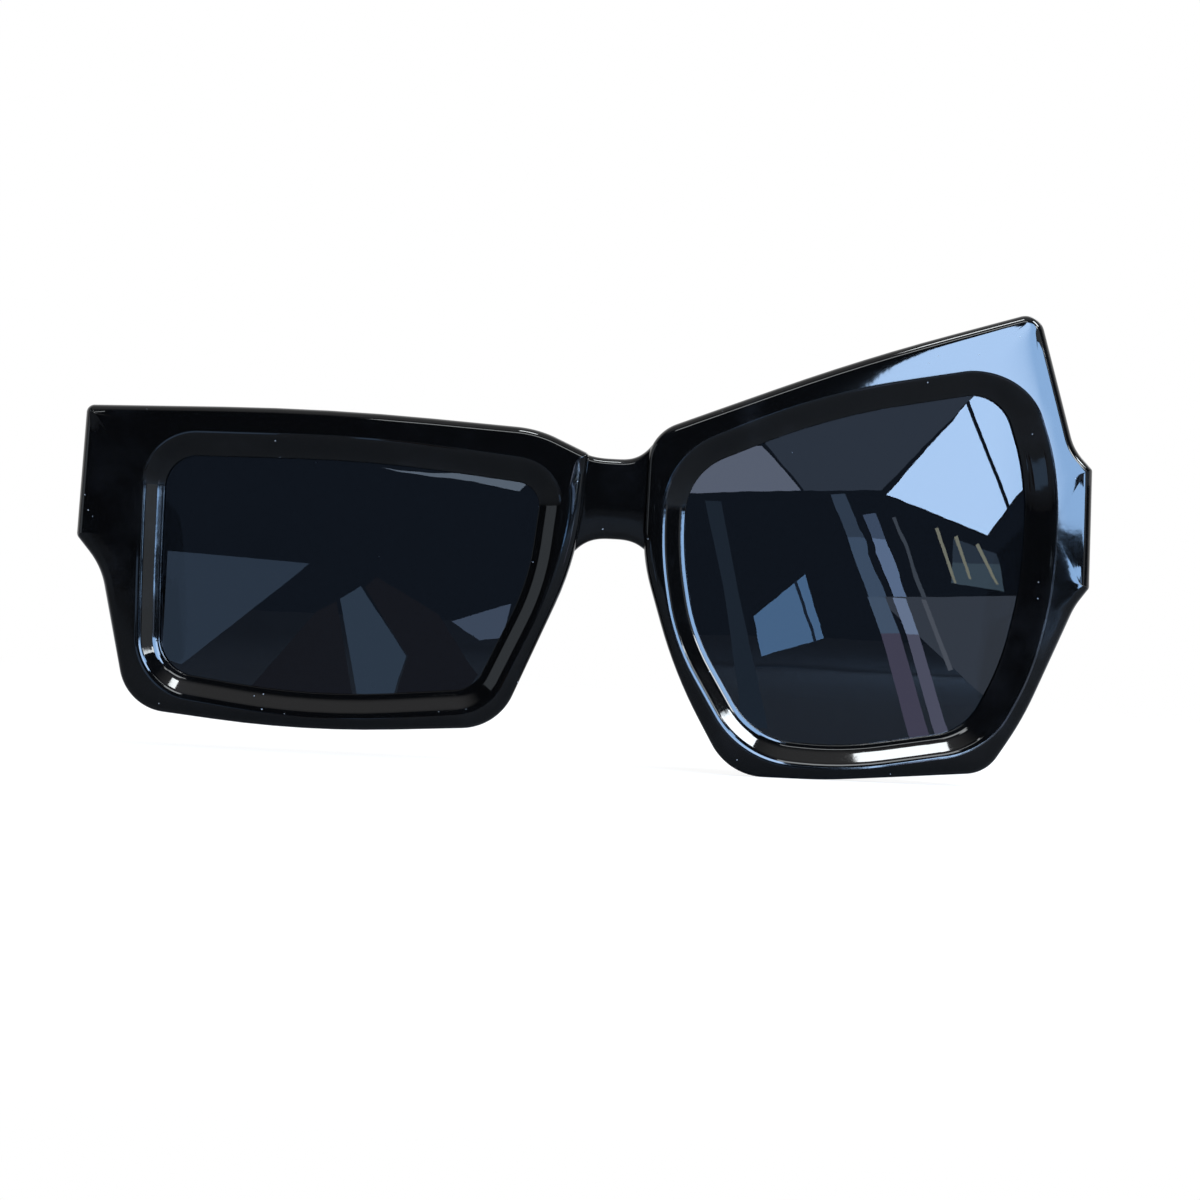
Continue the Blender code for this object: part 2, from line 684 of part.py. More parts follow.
def knuckle(name, side, toward_front, low):
    """Barrel on the hinge's axis with a web as wide as itself, reaching its plate."""
    reach = (HINGE_Y - bend(HINGE_X) - FRONT_THICKNESS if toward_front else TEMPLE_INNER - HINGE_X)
    reach += LEAF_THICKNESS / 2
    profile = [(reach, -BARREL_RADIUS)]
    for k in range(BARREL_STEPS + 1):
        angle = -math.pi / 2 - math.pi * k / BARREL_STEPS
        profile.append((BARREL_RADIUS * math.cos(angle), BARREL_RADIUS * math.sin(angle)))
    profile.append((reach, BARREL_RADIUS))
    if toward_front:
        flat = [(side * (HINGE_X + v), HINGE_Y - u) for u, v in profile]
    else:
        flat = [(side * (HINGE_X + u), HINGE_Y + v) for u, v in profile]
    return prism(name, flat, low, low + BARREL_HEIGHT)


def hinge_leaf(side_name, side, toward_front):
    """Leaf with its barrels: the outer three on the front, the two between on the temple."""
    if toward_front:
        leaf = front_leaf_plate(side_name + "_hinge_front_leaf", side, 0.0)
    else:
        leaf = temple_leaf_plate(side_name + "_hinge_temple_leaf", side, 0.0)
    bottom = HINGE_CENTRE_HEIGHT - STACK_HEIGHT / 2
    for k in range(0 if toward_front else 1, BARREL_COUNT, 2):
        part = knuckle("knuckle", side, toward_front, bottom + k * KNUCKLE_PITCH)
        combined(leaf, part, "UNION")
    bore = prism("bore", circle((side * HINGE_X, HINGE_Y), BORE_RADIUS, BORE_SIDES),
                 bottom - CUT_OVERRUN, bottom + STACK_HEIGHT + CUT_OVERRUN)
    return combined(leaf, bore, "DIFFERENCE")


def hinge_screw(side_name, side):
    """Slotted screw whose shaft passes down through every barrel."""
    bottom = HINGE_CENTRE_HEIGHT - STACK_HEIGHT / 2
    head_base = HINGE_CENTRE_HEIGHT + STACK_HEIGHT / 2 + BARREL_PLAY
    head_top = head_base + SCREW_HEAD_HEIGHT
    outline_steps = ((SCREW_SHAFT_RADIUS, bottom), (SCREW_SHAFT_RADIUS, head_base),
                     (SCREW_HEAD_RADIUS, head_base), (SCREW_HEAD_RADIUS, head_top - BARREL_PLAY),
                     (SCREW_HEAD_RADIUS - BARREL_PLAY, head_top))
    centre = (side * HINGE_X, HINGE_Y)
    rings = [[Vector((x, y, z)) for x, y in circle(centre, radius, BORE_SIDES)]
             for radius, z in outline_steps]
    screw = skinned(side_name + "_hinge_screw", rings)
    reach = Vector((SCREW_HEAD_RADIUS + CUT_OVERRUN, SCREW_SLOT_WIDTH / 2))
    slot = block("slot", (*(Vector(centre) - reach), head_top - SCREW_SLOT_DEPTH),
                 (*(Vector(centre) + reach), head_top + CUT_OVERRUN))
    return combined(screw, slot, "DIFFERENCE")


# Assembly

def hung_on(pivot, pieces):
    """Puts the pieces' origins on the pivot and parents them to it."""
    for piece in pieces:
        piece.data.transform(Matrix.Translation(-pivot.location))
        piece.parent = pivot


def centred(things):
    """Moves every loose object so that the whole stands on the origin, centred."""
    bpy.context.view_layer.update()
    spots = [thing.matrix_world @ vertex.co
             for thing in things if thing.type == "MESH" for vertex in thing.data.vertices]
    low = Vector([min(spot[k] for spot in spots) for k in range(3)])
    high = Vector([max(spot[k] for spot in spots) for k in range(3)])
    shift = Vector((-(low.x + high.x) / 2, -(low.y + high.y) / 2, -low.z))
    for thing in things:
        if thing.parent is None:
            thing.location += shift
    return shift


def main():
    clear_scene()
    coated(front_frame(), BLACK_PLASTIC)
    coated(lens("right_lens", RIGHT_EDGE_SHARES, RIGHT_HOLE_SHARES, RIGHT_BOX), TINTED_LENS)
    coated(lens("left_lens", LEFT_EDGE_SHARES, LEFT_HOLE_SHARES, LEFT_BOX), TINTED_LENS)
    right_pad = nose_pad("right_nose_pad", RIGHT_EDGE_SHARES, RIGHT_BOX,
                         RIGHT_PAD_CORNER_COUNTS, RIGHT_PAD_START_SHARE)
    left_pad = nose_pad("left_nose_pad", LEFT_EDGE_SHARES, LEFT_BOX,
                        LEFT_PAD_CORNER_COUNTS, LEFT_PAD_START_SHARE)
    coated(right_pad, BLACK_PLASTIC)
    coated(left_pad, BLACK_PLASTIC)
    for side_name, side in SIDES:
        coated(hinge_leaf(side_name, side, True), HINGE_STEEL)
        coated(hinge_screw(side_name, side), HINGE_STEEL)
        arm = coated(temple(side_name, side), BLACK_PLASTIC)
        leaf = coated(hinge_leaf(side_name, side, False), HINGE_STEEL)
        core = coated(core_wire(side_name, side), HINGE_STEEL)
        pivot = bpy.data.objects.new(side_name + "_fold_axis", None)
        pivot.location = (side * HINGE_X, HINGE_Y, HINGE_CENTRE_HEIGHT)
        bpy.context.scene.collection.objects.link(pivot)
        hung_on(pivot, (arm, leaf, core))
    shift = centred(list(bpy.context.scene.objects))
    print("shift to the origin", [round(value, 5) for value in shift])


main()
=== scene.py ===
import cmath
import math

import bmesh
import bpy
from bpy.props import FloatProperty, FloatVectorProperty, IntProperty, PointerProperty
from mathutils import Matrix, Vector


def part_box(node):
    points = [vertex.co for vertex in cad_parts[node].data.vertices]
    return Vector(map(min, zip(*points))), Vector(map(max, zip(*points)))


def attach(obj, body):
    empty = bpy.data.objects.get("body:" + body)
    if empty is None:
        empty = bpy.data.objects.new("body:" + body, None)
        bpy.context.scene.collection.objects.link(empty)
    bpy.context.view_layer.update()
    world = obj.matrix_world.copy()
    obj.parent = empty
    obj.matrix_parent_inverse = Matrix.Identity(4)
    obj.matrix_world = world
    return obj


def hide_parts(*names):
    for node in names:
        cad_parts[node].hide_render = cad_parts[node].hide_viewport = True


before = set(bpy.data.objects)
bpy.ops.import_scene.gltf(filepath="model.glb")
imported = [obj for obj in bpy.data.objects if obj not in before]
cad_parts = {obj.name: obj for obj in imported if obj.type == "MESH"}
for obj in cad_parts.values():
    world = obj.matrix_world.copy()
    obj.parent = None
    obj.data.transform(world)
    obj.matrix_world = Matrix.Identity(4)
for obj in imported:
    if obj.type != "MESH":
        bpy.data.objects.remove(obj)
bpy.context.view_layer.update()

bl_info = {
    "name": "Asymmetric sunglasses",
    "version": (1, 0, 0),
    "blender": (4, 5, 0),
    "location": "View3D > Sidebar > Sunglasses",
    "description": "Builds polished plastic sunglasses with one square rim and one peaked rim",
    "category": "Object",
}

SIDES = (("right", -1), ("left", 1))

# Corners of each outline in shares of its rim's box, then the share of the shorter half side
# that the corner's arc takes. They run anticlockwise as seen from the front.
RIGHT_EDGE_SHARES = (
    (0.008, 0.985, 0.12),
    (0.000, 0.570, 0.15),
    (0.052, 0.475, 0.95),
    (0.117, 0.037, 0.52),
    (0.470, -0.012, 1.00),
    (0.852, 0.032, 0.38),
    (0.991, 0.571, 0.95),
    (1.006, 0.902, 0.12),
    (0.904, 0.973, 0.75),
    (0.490, 1.006, 1.00),
)
RIGHT_HOLE_SHARES = (
    (0.172, 0.838, 0.85),
    (0.172, 0.600, 0.50),
    (0.173, 0.450, 0.50),
    (0.178, 0.158, 0.72),
    (0.487, 0.097, 1.00),
    (0.801, 0.147, 0.30),
    (0.898, 0.494, 0.90),
    (0.914, 0.754, 1.00),
    (0.888, 0.801, 1.00),
    (0.586, 0.848, 1.00),
)
LEFT_EDGE_SHARES = (
    (0.002, 0.709, 0.47),
    (0.001, 0.447, 0.50),
    (0.084, 0.209, 0.90),
    (0.214, 0.000, 0.72),
    (0.430, 0.000, 0.50),
    (0.787, 0.030, 0.60),
    (0.864, 0.146, 0.90),
    (0.969, 0.391, 0.80),
    (1.000, 0.431, 0.15),
    (0.994, 0.682, 0.15),
    (0.950, 0.724, 0.90),
    (0.857, 1.011, 0.28),
    (0.468, 0.891, 1.00),
)
LEFT_HOLE_SHARES = (
    (0.094, 0.632, 1.00),
    (0.090, 0.470, 0.90),
    (0.125, 0.297, 0.90),
    (0.266, 0.081, 0.90),
    (0.461, 0.070, 0.90),
    (0.736, 0.117, 0.80),
    (0.810, 0.255, 0.90),
    (0.842, 0.403, 0.90),
    (0.849, 0.496, 0.90),
    (0.848, 0.609, 0.90),
    (0.834, 0.696, 0.90),
    (0.781, 0.839, 1.00),
    (0.401, 0.765, 1.00),
)
# Outlines of each rim, and the two corners of its edge between which the nose pad lies
RIMS = {
    "right": (RIGHT_EDGE_SHARES, RIGHT_HOLE_SHARES, (6, 5)),
    "left": (LEFT_EDGE_SHARES, LEFT_HOLE_SHARES, (1, 2)),
}

# Divisions of the round stretches, and the least that is divided
STRAIGHT_STEP = 0.0030
BEND_STEP_ANGLE = math.radians(4.0)
LEAST_TURN = 1e-4
LEAST_ROUND = 0.00015
EDGE_STEPS = 8
FACE_STEPS = 9
CORNER_STEPS = 4
BEVEL_STEPS = 2
BRIDGE_STEPS = 48
LENS_RINGS = 12
PAD_STEPS = 36
PAD_SIDES = 20
TEMPLE_STEPS = {"end": 4, "run": 30, "bend": 20, "straight": 6, "tip": 12}
ARM_ROUND_STEPS = 7
WIRE_SIDES = 24
BARREL_STEPS = 20
BORE_SIDES = 32
SCREW_SIDES = 48
HEAD_STEPS = 5
SHARP_ANGLE = math.radians(35.0)

# Shares: of the face's width that it falls back, of a stretch that holds its shading, of the
# bridge's half span where its rise ends, of a pad's ends left off, of the tip's last round, of a
# temple's side that its rounding may take, of its end's reach that is the end face, of the screw's
# radius at its point
FACE_FALL_SHARE = 0.022
HOLD_SHARE = 0.04
BRIDGE_RISE_END_SHARE = 1.17
PAD_END_SHARE = 0.015
TIP_END_SHARE = 0.998
ROUND_SHARE = 0.45
END_FACE_SHARE = 1 / 8
SCREW_POINT_SHARE = 0.8
# Shares of the rims' roundings by which the slope's top and foot and the back edge are eased
SLOPE_TOP_EASE = 0.95
SLOPE_FOOT_EASE = 0.8
BACK_EDGE_EASE = 0.4

# Bevels, and how far a cutting body reaches past what it cuts
WIRE_BEVEL = 0.0001
BARREL_BEVEL = 0.00008
LEAF_BEVEL = 0.00012
OVERRUN = 0.001

# Plastic: how much of its colour a speck of dust covers, and what specks and smudges add to its
# roughness
DUST_COVER = 0.55
DUST_ROUGH = 0.5
SMUDGE_ROUGH = 0.05
# Lens: shade of its colour under a smudge, and what smudges and specks add to its roughness
LENS_SMUDGE_SHADE = 0.90
LENS_SMUDGE_ROUGH = 0.012
LENS_DUST_ROUGH = 0.3
# Steel: shade of its darker patches, its least roughness and what the drawn lines add to it
PATCH_SHADE = 0.72
STEEL_ROUGH = 0.18
LINE_ROUGH = 0.16
# Range of the cloud's value over which a smudge fades out
SMUDGE_FADE = 0.25

# Surroundings: level before the object and the way back over which it turns white, level
# overhead and the height of the way where it starts and ends
FRONT_LEVEL = 0.02
BEHIND_FADE = (-0.10, 0.60)
OVERHEAD_LEVEL = 0.50
OVERHEAD_FADE = (0.70, 0.98)
# Floor: its top and underside, the place back where mirrors start to see it white, the distance
# over which it runs out into white, its own white and the dark grey that mirrors see of it before
# the object, a painted shade
FLOOR_HEIGHTS = (-0.002, -0.00002)
FLOOR_BEHIND_FADE = (-0.07, 0.10)
FLOOR_WHITE_FADE = (0.10, 0.50)
FLOOR_COLOUR = (0.86, 0.86, 0.86)
FLOOR_MIRRORED_SHADE = (0.15, 0.15, 0.15)
SENSOR_WIDTH = 36.0
WHITE = (1.0, 1.0, 1.0, 1.0)

# Lamps: name, azimuth and elevation in degrees as seen from the aim, distance, size, radiance,
# colour, and the aim where it isn't the camera's
LAMPS = (
    ("right_panel", 57.0, 9.0, 0.9, (0.24, 0.32), 0.65, (0.84, 0.92, 1.0), None),
    ("low_glint", 55.0, 20.0, 0.8, (0.10, 0.12), 18.0, (0.90, 0.96, 1.0), None),
    ("side_glint", 75.0, 39.7, 0.8, (0.13, 0.34), 28.0, (0.86, 0.94, 1.0), None),
    ("overhead_glint", -6.4, 74.5, 0.5, (0.078, 0.06), 24.0, (0.93, 0.98, 1.0), (0.054, 0.005)),
    ("left_panel", -82.0, 16.0, 0.9, (0.34, 0.52), 0.7, (0.80, 0.90, 1.0), None),
    ("edge_strip", 6.0, 44.0, 0.9, (0.50, 0.12), 6.0, (0.93, 0.98, 1.0), None),
    ("rear_panel", 150.0, 32.0, 1.2, (0.5, 0.4), 3.0, (0.95, 0.97, 1.0), None),
)

# Lit cards before the object, each with its corners as the places on the front's face, across and
# up in millimetres, at which the camera sees them mirrored
MILLIMETRE = 0.001
WINDOW_PANES = (
    ((44.3, 42.5), (59.5, 37.2), (64.3, 44.2), (57.0, 58.4)),
    ((64.3, 44.2), (67.5, 41.5), (74.0, 38.4), (128.0, 33.0), (128.0, 267.0),
     (57.0, 58.4)),
    ((57.0, 58.4), (128.0, 267.0), (50.0, 267.0), (37.0, 125.0), (40.0, 59.2)),
)
WINDOW_LIGHT = (10.0, 14.6, 21.8)
WINDOW_SIDE_LIGHT = (6.0, 10.2, 17.0)
# Name, share of the cards' distance, radiance, places. Cards seen low on the face stand near it,
# clear of the floor.
CARDS = (
    ("upper_card", 1.0, (0.5, 0.66, 0.95),
     ((32.0, 42.4), (43.5, 43.2), (56.5, 57.8), (45.0, 56.5), (30.0, 53.0), (26.5, 49.0))),
    ("corner_card", 1.0, (2.2, 2.6, 3.6),
     ((15.0, 41.0), (31.5, 42.4), (26.0, 48.6), (20.0, 47.5), (15.0, 44.0))),
    ("side_band", 0.18, (0.18, 0.28, 0.42),
     ((17.6, 40.2), (20.0, 40.2), (23.2, 27.0), (28.7, 7.0), (25.0, 7.0), (21.1, 27.0))),
    ("first_streak_top", 1.0, (0.58, 0.9, 1.45),
     ((36.1, 42.1), (38.8, 35.6), (41.3, 35.6), (38.1, 42.4))),
    ("first_streak", 1.0, (0.95, 1.55, 2.6),
     ((38.8, 35.6), (42.4, 27.3), (45.1, 27.3), (41.3, 35.6))),
    ("first_streak_knee", 0.175, (1.15, 1.8, 2.9),
     ((42.4, 27.3), (44.7, 21.9), (47.5, 22.1), (45.1, 27.3))),
    ("first_streak_foot", 0.175, (1.15, 1.05, 1.7),
     ((44.7, 21.9), (49.7, 6.6), (52.6, 7.2), (47.5, 22.1))),
    ("second_streak_top", 1.0, (0.95, 1.45, 2.5),
     ((40.9, 39.3), (42.5, 35.8), (44.5, 35.8), (42.8, 39.7))),
    ("second_streak", 1.0, (2.2, 3.3, 5.6),
     ((42.5, 35.8), (46.2, 27.3), (48.2, 27.3), (44.5, 35.8))),
    ("second_streak_knee", 0.175, (3.0, 4.0, 6.2),
     ((46.2, 27.3), (48.5, 22.0), (50.4, 22.0), (48.2, 27.3))),
    ("second_streak_foot", 0.175, (1.6, 1.65, 2.5),
     ((48.5, 22.0), (53.4, 7.2), (55.4, 7.8), (50.4, 22.0))),
    ("third_streak", 1.0, (0.9, 1.1, 1.4),
     ((45.3, 39.2), (45.8, 39.3), (51.2, 27.3), (50.5, 27.3))),
    ("third_streak_foot", 0.175, (1.5, 1.7, 2.1),
     ((50.5, 27.3), (55.1, 16.8), (55.8, 17.0), (51.2, 27.3))),
    ("small_card", 1.0, (1.35, 2.8, 5.3), ((25.5, 23.6), (27.0, 17.6), (36.0, 20.6), (32.8, 30.1))),
    ("lower_card", 0.185, (0.7, 0.85, 1.12),
     ((43.8, 27.3), (60.4, 13.4), (64.0, 18.0), (65.1, 28.5))),
    ("tube_glow", 1.05, (0.4, 0.6, 0.88), ((54.5, 36.5), (54.5, 33.0), (61.6, 33.0), (61.0, 34.5))),
    ("tube_glow_foot", 1.05, (0.8, 1.25, 1.65),
     ((54.5, 33.0), (54.5, 30.0), (62.5, 29.0), (61.6, 33.0))),
    ("first_tube", 1.0, (3.6, 3.7, 2.9), ((51.7, 37.8), (54.9, 30.0), (55.3, 30.0), (52.2, 38.0))),
    ("second_tube", 1.0, (3.6, 3.7, 2.9), ((54.6, 36.7), (57.1, 30.7), (57.5, 30.7), (55.1, 36.9))),
    ("third_tube", 1.0, (3.6, 3.7, 2.9), ((57.8, 35.7), (61.2, 30.0), (61.6, 30.0), (58.3, 35.9))),
    ("far_triangle", 0.185, (0.45, 0.7, 1.1),
     ((-61.7, 28.9), (-61.7, 13.0), (-58.9, 12.2), (-40.3, 28.0))),
    ("blade_card", 0.175, (0.5, 0.8, 1.25),
     ((-35.6, 23.0), (-32.3, 8.5), (-27.4, 8.5), (-25.4, 15.1), (-32.6, 25.1))),
    ("brown_card", 0.185, (0.1, 0.07, 0.05),
     ((-49.0, 8.5), (-33.0, 8.5), (-36.1, 22.6), (-39.0, 21.0))),
    ("side_brown_card", 0.185, (0.09, 0.06, 0.04),
     ((-32.0, 25.0), (-25.2, 15.1), (-27.0, 8.5), (-17.0, 9.5), (-15.0, 13.0), (-21.0, 21.5),
      (-30.3, 26.5))),
    ("edge_card", 1.0, (1.0, 1.4, 2.2),
     ((-18.9, 20.5), (-14.6, 18.0), (-12.0, 18.6), (-10.6, 23.7))),
    ("top_streak", 1.0, (2.2, 2.8, 3.6),
     ((-30.0, 43.4), (-24.0, 42.4), (-10.0, 40.0), (-9.2, 41.5))),
    ("window_bar", 0.95, (0.02, 0.03, 0.05),
     ((55.3, 56.5), (62.8, 40.0), (63.3, 40.2), (55.8, 56.8))),
    ("small_bar", 0.95, (0.1, 0.18, 0.34),
     ((31.2, 28.9), (31.6, 29.2), (35.0, 20.1), (34.6, 19.9))),
)


# Settings shown in the sidebar

def length(name, default, description):
    """A length shown in the scene's units."""
    return FloatProperty(name=name, description=description, default=default, min=0.0,
                         precision=5, unit="LENGTH", subtype="DISTANCE")


def slant(name, degrees, description):
    """An angle shown in degrees."""
    return FloatProperty(name=name, description=description, default=math.radians(degrees),
                         unit="ROTATION", subtype="ANGLE")


def tint(name, default, description):
    """A colour, in linear values."""
    return FloatVectorProperty(name=name, description=description, default=default, size=3,
                               min=0.0, max=1.0, subtype="COLOR")


def share(name, default, description):
    """A value from nothing to whole."""
    return FloatProperty(name=name, description=description, default=default, min=0.0, max=1.0,
                         subtype="FACTOR")


class FrontSizes(bpy.types.PropertyGroup):
    right_width: length("Right rim width", 0.0748, "Width of the square rim")
    right_height: length("Right rim height", 0.0468, "Height of the square rim")
    left_width: length("Left rim width", 0.0664, "Width of the peaked rim")
    left_height: length("Left rim height", 0.0698, "Height of the peaked rim")
    left_drop: length("Left drop", 0.0039, "How far the peaked rim reaches below the square one")
    bridge_span: length("Bridge span", 0.0089, "Gap between the rims")
    thickness: length("Thickness", 0.0060, "Thickness of the sheet the front is cut from")
    bend_radius: length("Bend radius", 0.480, "Radius to which the front is bent")
    edge_round: length("Edge round", 0.0014, "Rounding of the rims' front edge")
    back_round: length("Back round", 0.0010, "Rounding of the rims' back edge")
    chamfer_width: length("Chamfer width", 0.0021, "Width of the slope down to the lens")
    chamfer_flare: length("Chamfer flare", 0.0012, "Extra slope beside the peaked rim's hinge")
    chamfer_round: length("Chamfer round", 0.0006, "Rounding where face and slope meet")
    chamfer_depth: length("Chamfer depth", 0.0017, "Depth of the slope's foot")
    lip_width: length("Lip width", 0.0009, "Width of the lip round the lens")
    lip_depth: length("Lip depth", 0.0020, "Depth of the lip's edge")
    hole_round: length("Opening back round", 0.0007, "Bevel of the opening's back edge")
    bridge_recess: length("Bridge recess", 0.0012, "How far the bridge lies behind the rims' face")
    bridge_top: length("Bridge top", 0.0456, "Height of the bridge's upper edge")
    bridge_rise_right: length("Right rise", 0.0005, "Rise of that edge towards the square rim")
    bridge_rise_left: length("Left rise", 0.0015, "Rise of that edge towards the peaked rim")
    arch_apex: length("Arch apex", 0.0338, "Height of the nose arch")
    arch_drop: length("Arch drop", 0.0011, "Fall of the arch towards the rims")
    bridge_round: length("Bridge round", 0.0012, "Rounding of the bridge's front edges")
    bridge_overlap: length("Bridge overlap", 0.0024, "How far the bridge runs into each rim")
    gap: length("Gap", 0.0003, "Room between neighbouring pieces")


class LensSizes(bpy.types.PropertyGroup):
    thickness: length("Thickness", 0.0020, "Thickness of a lens")
    depth: length("Depth", 0.0027, "Depth of the lens behind the rim's face")
    seat: length("Seat", 0.0008, "How far the lens reaches into its groove")
    bevel: length("Bevel", 0.0003, "Bevel ground on the lens's edge")


class PadSizes(bpy.types.PropertyGroup):
    length: length("Length", 0.0125, "Length of a nose pad")
    width: length("Width", 0.0036, "Width of its foot")
    height: length("Height", 0.0044, "How far it stands out")
    lean: length("Lean", 0.0009, "Lean of its crest towards the nose")
    inset: length("Inset", 0.0029, "Distance of its middle from the rim's edge")
    right_start: share("Right start", 0.15, "Start along the square rim's nose side")
    left_start: share("Left start", 0.12, "Start along the peaked rim's nose side")


class TempleSizes(bpy.types.PropertyGroup):
    inset: length("Inset", 0.00045, "How far the outer side lies within the front's width")
    end_height: length("End height", 0.0136, "Height at the hinge end")
    front_height: length("Front height", 0.0163, "Greatest height")
    end_reach: length("End reach", 0.0080, "Length over which the height grows")
    bend_height: length("Bend height", 0.0126, "Height where the ear bend starts")
    tip_height: length("Tip height", 0.0080, "Height at the tip")
    thickness: length("Thickness", 0.0042, "Thickness at the hinge")
    tip_thickness: length("Tip thickness", 0.0034, "Thickness at the tip")
    edge_round: length("Edge round", 0.0012, "Rounding along the edges")
    length: length("Length", 0.1368, "Length along the middle from front to tip")
    bend_radius: length("Bend radius", 0.0240, "Radius of the ear bend")
    tip_straight: length("Tip straight", 0.0170, "Length of the straight behind the ear")
    tip_round: length("Tip round", 0.0040, "Rounding of the very tip")
    fall: slant("Fall", 3.4, "Slope of the straight run")
    tip_angle: slant("Tip angle", 41.0, "Slope behind the ear")
    wire_radius: length("Wire radius", 0.00065, "Radius of the steel core")
    wire_gap: length("Wire gap", 0.0002, "Room round the core")
    wire_from_outside: length("Wire from outside", 0.0018, "Depth of the core's middle")
    wire_margin: length("Wire margin", 0.0100, "Distance of the core's end from the tip")


class HingeSizes(bpy.types.PropertyGroup):
    height: length("Centre height", 0.0368, "Height of the hinge's middle")
    radius: length("Barrel radius", 0.0013, "Outer radius of a barrel")
    barrel_height: length("Barrel height", 0.0016, "Height of one barrel")
    play: length("Barrel play", 0.0001, "Gap between barrels")
    count: IntProperty(name="Barrels", description="Barrels in each hinge", default=5, min=3)
    standoff: length("Standoff", 0.0007, "Gap between barrels and front")
    from_temple: length("From temple", 0.0004, "Gap between barrels and temple")
    leaf_thickness: length("Leaf thickness", 0.0010, "Thickness of a leaf")
    leaf_height: length("Leaf height", 0.0090, "Height of a leaf")
    front_leaf: length("Front leaf", 0.0060, "Length of the leaf on the front")
    temple_leaf: length("Temple leaf", 0.0085, "Length of the leaf on the temple")
    shaft_radius: length("Shaft radius", 0.00065, "Radius of the screw's shaft")
    head_radius: length("Head radius", 0.0012, "Radius of the screw's head")
    head_height: length("Head height", 0.0006, "Height of the screw's head")
    slot_width: length("Slot width", 0.0003, "Width of the slot in the head")
    slot_depth: length("Slot depth", 0.0003, "Depth of the slot in the head")


class Finishes(bpy.types.PropertyGroup):
    plastic: tint("Plastic", (0.0012, 0.0012, 0.0013), "Colour of the black plastic")
    plastic_haze: tint("Plastic haze", (0.004, 0.004, 0.0045), "Colour where it is slightly hazed")
    plastic_gloss: share("Plastic roughness", 0.045, "Roughness of the polished plastic")
    lens: tint("Lens", (0.0045, 0.0070, 0.0120), "Colour of light through a lens")
    steel: tint("Steel", (0.60, 0.59, 0.57), "Colour of the hinge steel")
    dust: tint("Dust", (0.45, 0.46, 0.48), "Colour of dust and lint")


class StageSizes(bpy.types.PropertyGroup):
    camera_distance: length("Camera distance", 0.60, "Distance from the front's face")
    view_width: length("View width", 0.1755, "Width seen at the front's face")
    aim_x: FloatProperty(name="Aim across", description="Middle of the view across",
                         default=0.0028, unit="LENGTH")
    aim_z: FloatProperty(name="Aim up", description="Middle of the view's height",
                         default=0.0248, unit="LENGTH")
    roll: slant("Roll", 2.82, "Turn of the picture")
    floor: length("Floor", 6.0, "Width of the floor")
    card_distance: length("Card distance", 1.1, "Distance of the lit cards from the front")
    glow: share("Floor glow", 0.70, "Share of the floor's white that isn't lit, near the object")
    floor_level: FloatProperty(name="Floor level", description="How bright the lamps light it",
                               default=0.55, min=0.0)
    fade_start: length("Fade start", 0.42, "Place across where the window starts to dim")
    fade_end: length("Fade end", 0.55, "Place across where the window is dimmest")


class SunglassesSettings(bpy.types.PropertyGroup):
    front: PointerProperty(type=FrontSizes)
    lens: PointerProperty(type=LensSizes)
    pad: PointerProperty(type=PadSizes)
    temple: PointerProperty(type=TempleSizes)
    hinge: PointerProperty(type=HingeSizes)
    finish: PointerProperty(type=Finishes)
    stage: PointerProperty(type=StageSizes)


# Places worked out from the sizes

def front_width(s):
    return s.front.right_width + s.front.bridge_span + s.front.left_width


def rim_box(s, side_name):
    """Box of a rim: its start across, its bottom, its width and its height."""
    f = s.front
    if side_name == "right":
        return -front_width(s) / 2, f.left_drop, f.right_width, f.right_height
    return front_width(s) / 2 - f.left_width, 0.0, f.left_width, f.left_height


def temple_outer(s):
    return front_width(s) / 2 - s.temple.inset


def temple_inner(s):
    return temple_outer(s) - s.temple.thickness


def bend(s, x):
    """How far the front has bent back at a place across it."""
    return x * x / (2 * s.front.bend_radius)


def hinge_spot(s):
    """Hinge axis of the wearer's left side, across and back from the front's face."""
    x = temple_inner(s) - s.hinge.radius - s.hinge.from_temple
    return x, bend(s, x) + s.front.thickness + s.hinge.radius + s.hinge.standoff


def cad_shift(s):
    """From the front's own place to the frame's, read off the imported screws."""
    low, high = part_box("left_hinge_screw")
    x, y = hinge_spot(s)
    return Vector(((low.x + high.x) / 2 - x, (low.y + high.y) / 2 - y, 0.0))


# Outlines, as complex numbers with x across and z up

def corners_of(s, side_name, shares):
    """Turns shares of a rim's box into corner places with the softness of each."""
    start, bottom, width, height = rim_box(s, side_name)
    return [(complex(start + x * width, bottom + z * height), soft) for x, z, soft in shares]


def rim_corners(s, side_name):
    """Corners of a rim's edge and of its opening, and the divisions that both share."""
    edge, hole = (corners_of(s, side_name, shares) for shares in RIMS[side_name][:2])
    return edge, hole, step_counts(edge, hole)


def corner_turn(corners, i):
    """Ways in and out of a corner, and the angle turned there."""
    here = corners[i][0]
    before = corners[i - 1][0]
    after = corners[(i + 1) % len(corners)][0]
    way_in = (here - before) / abs(here - before)
    way_out = (after - here) / abs(after - here)
    turn = cmath.phase(way_out / way_in)
    if abs(turn) < LEAST_TURN:
        turn = LEAST_TURN
    return way_in, way_out, turn


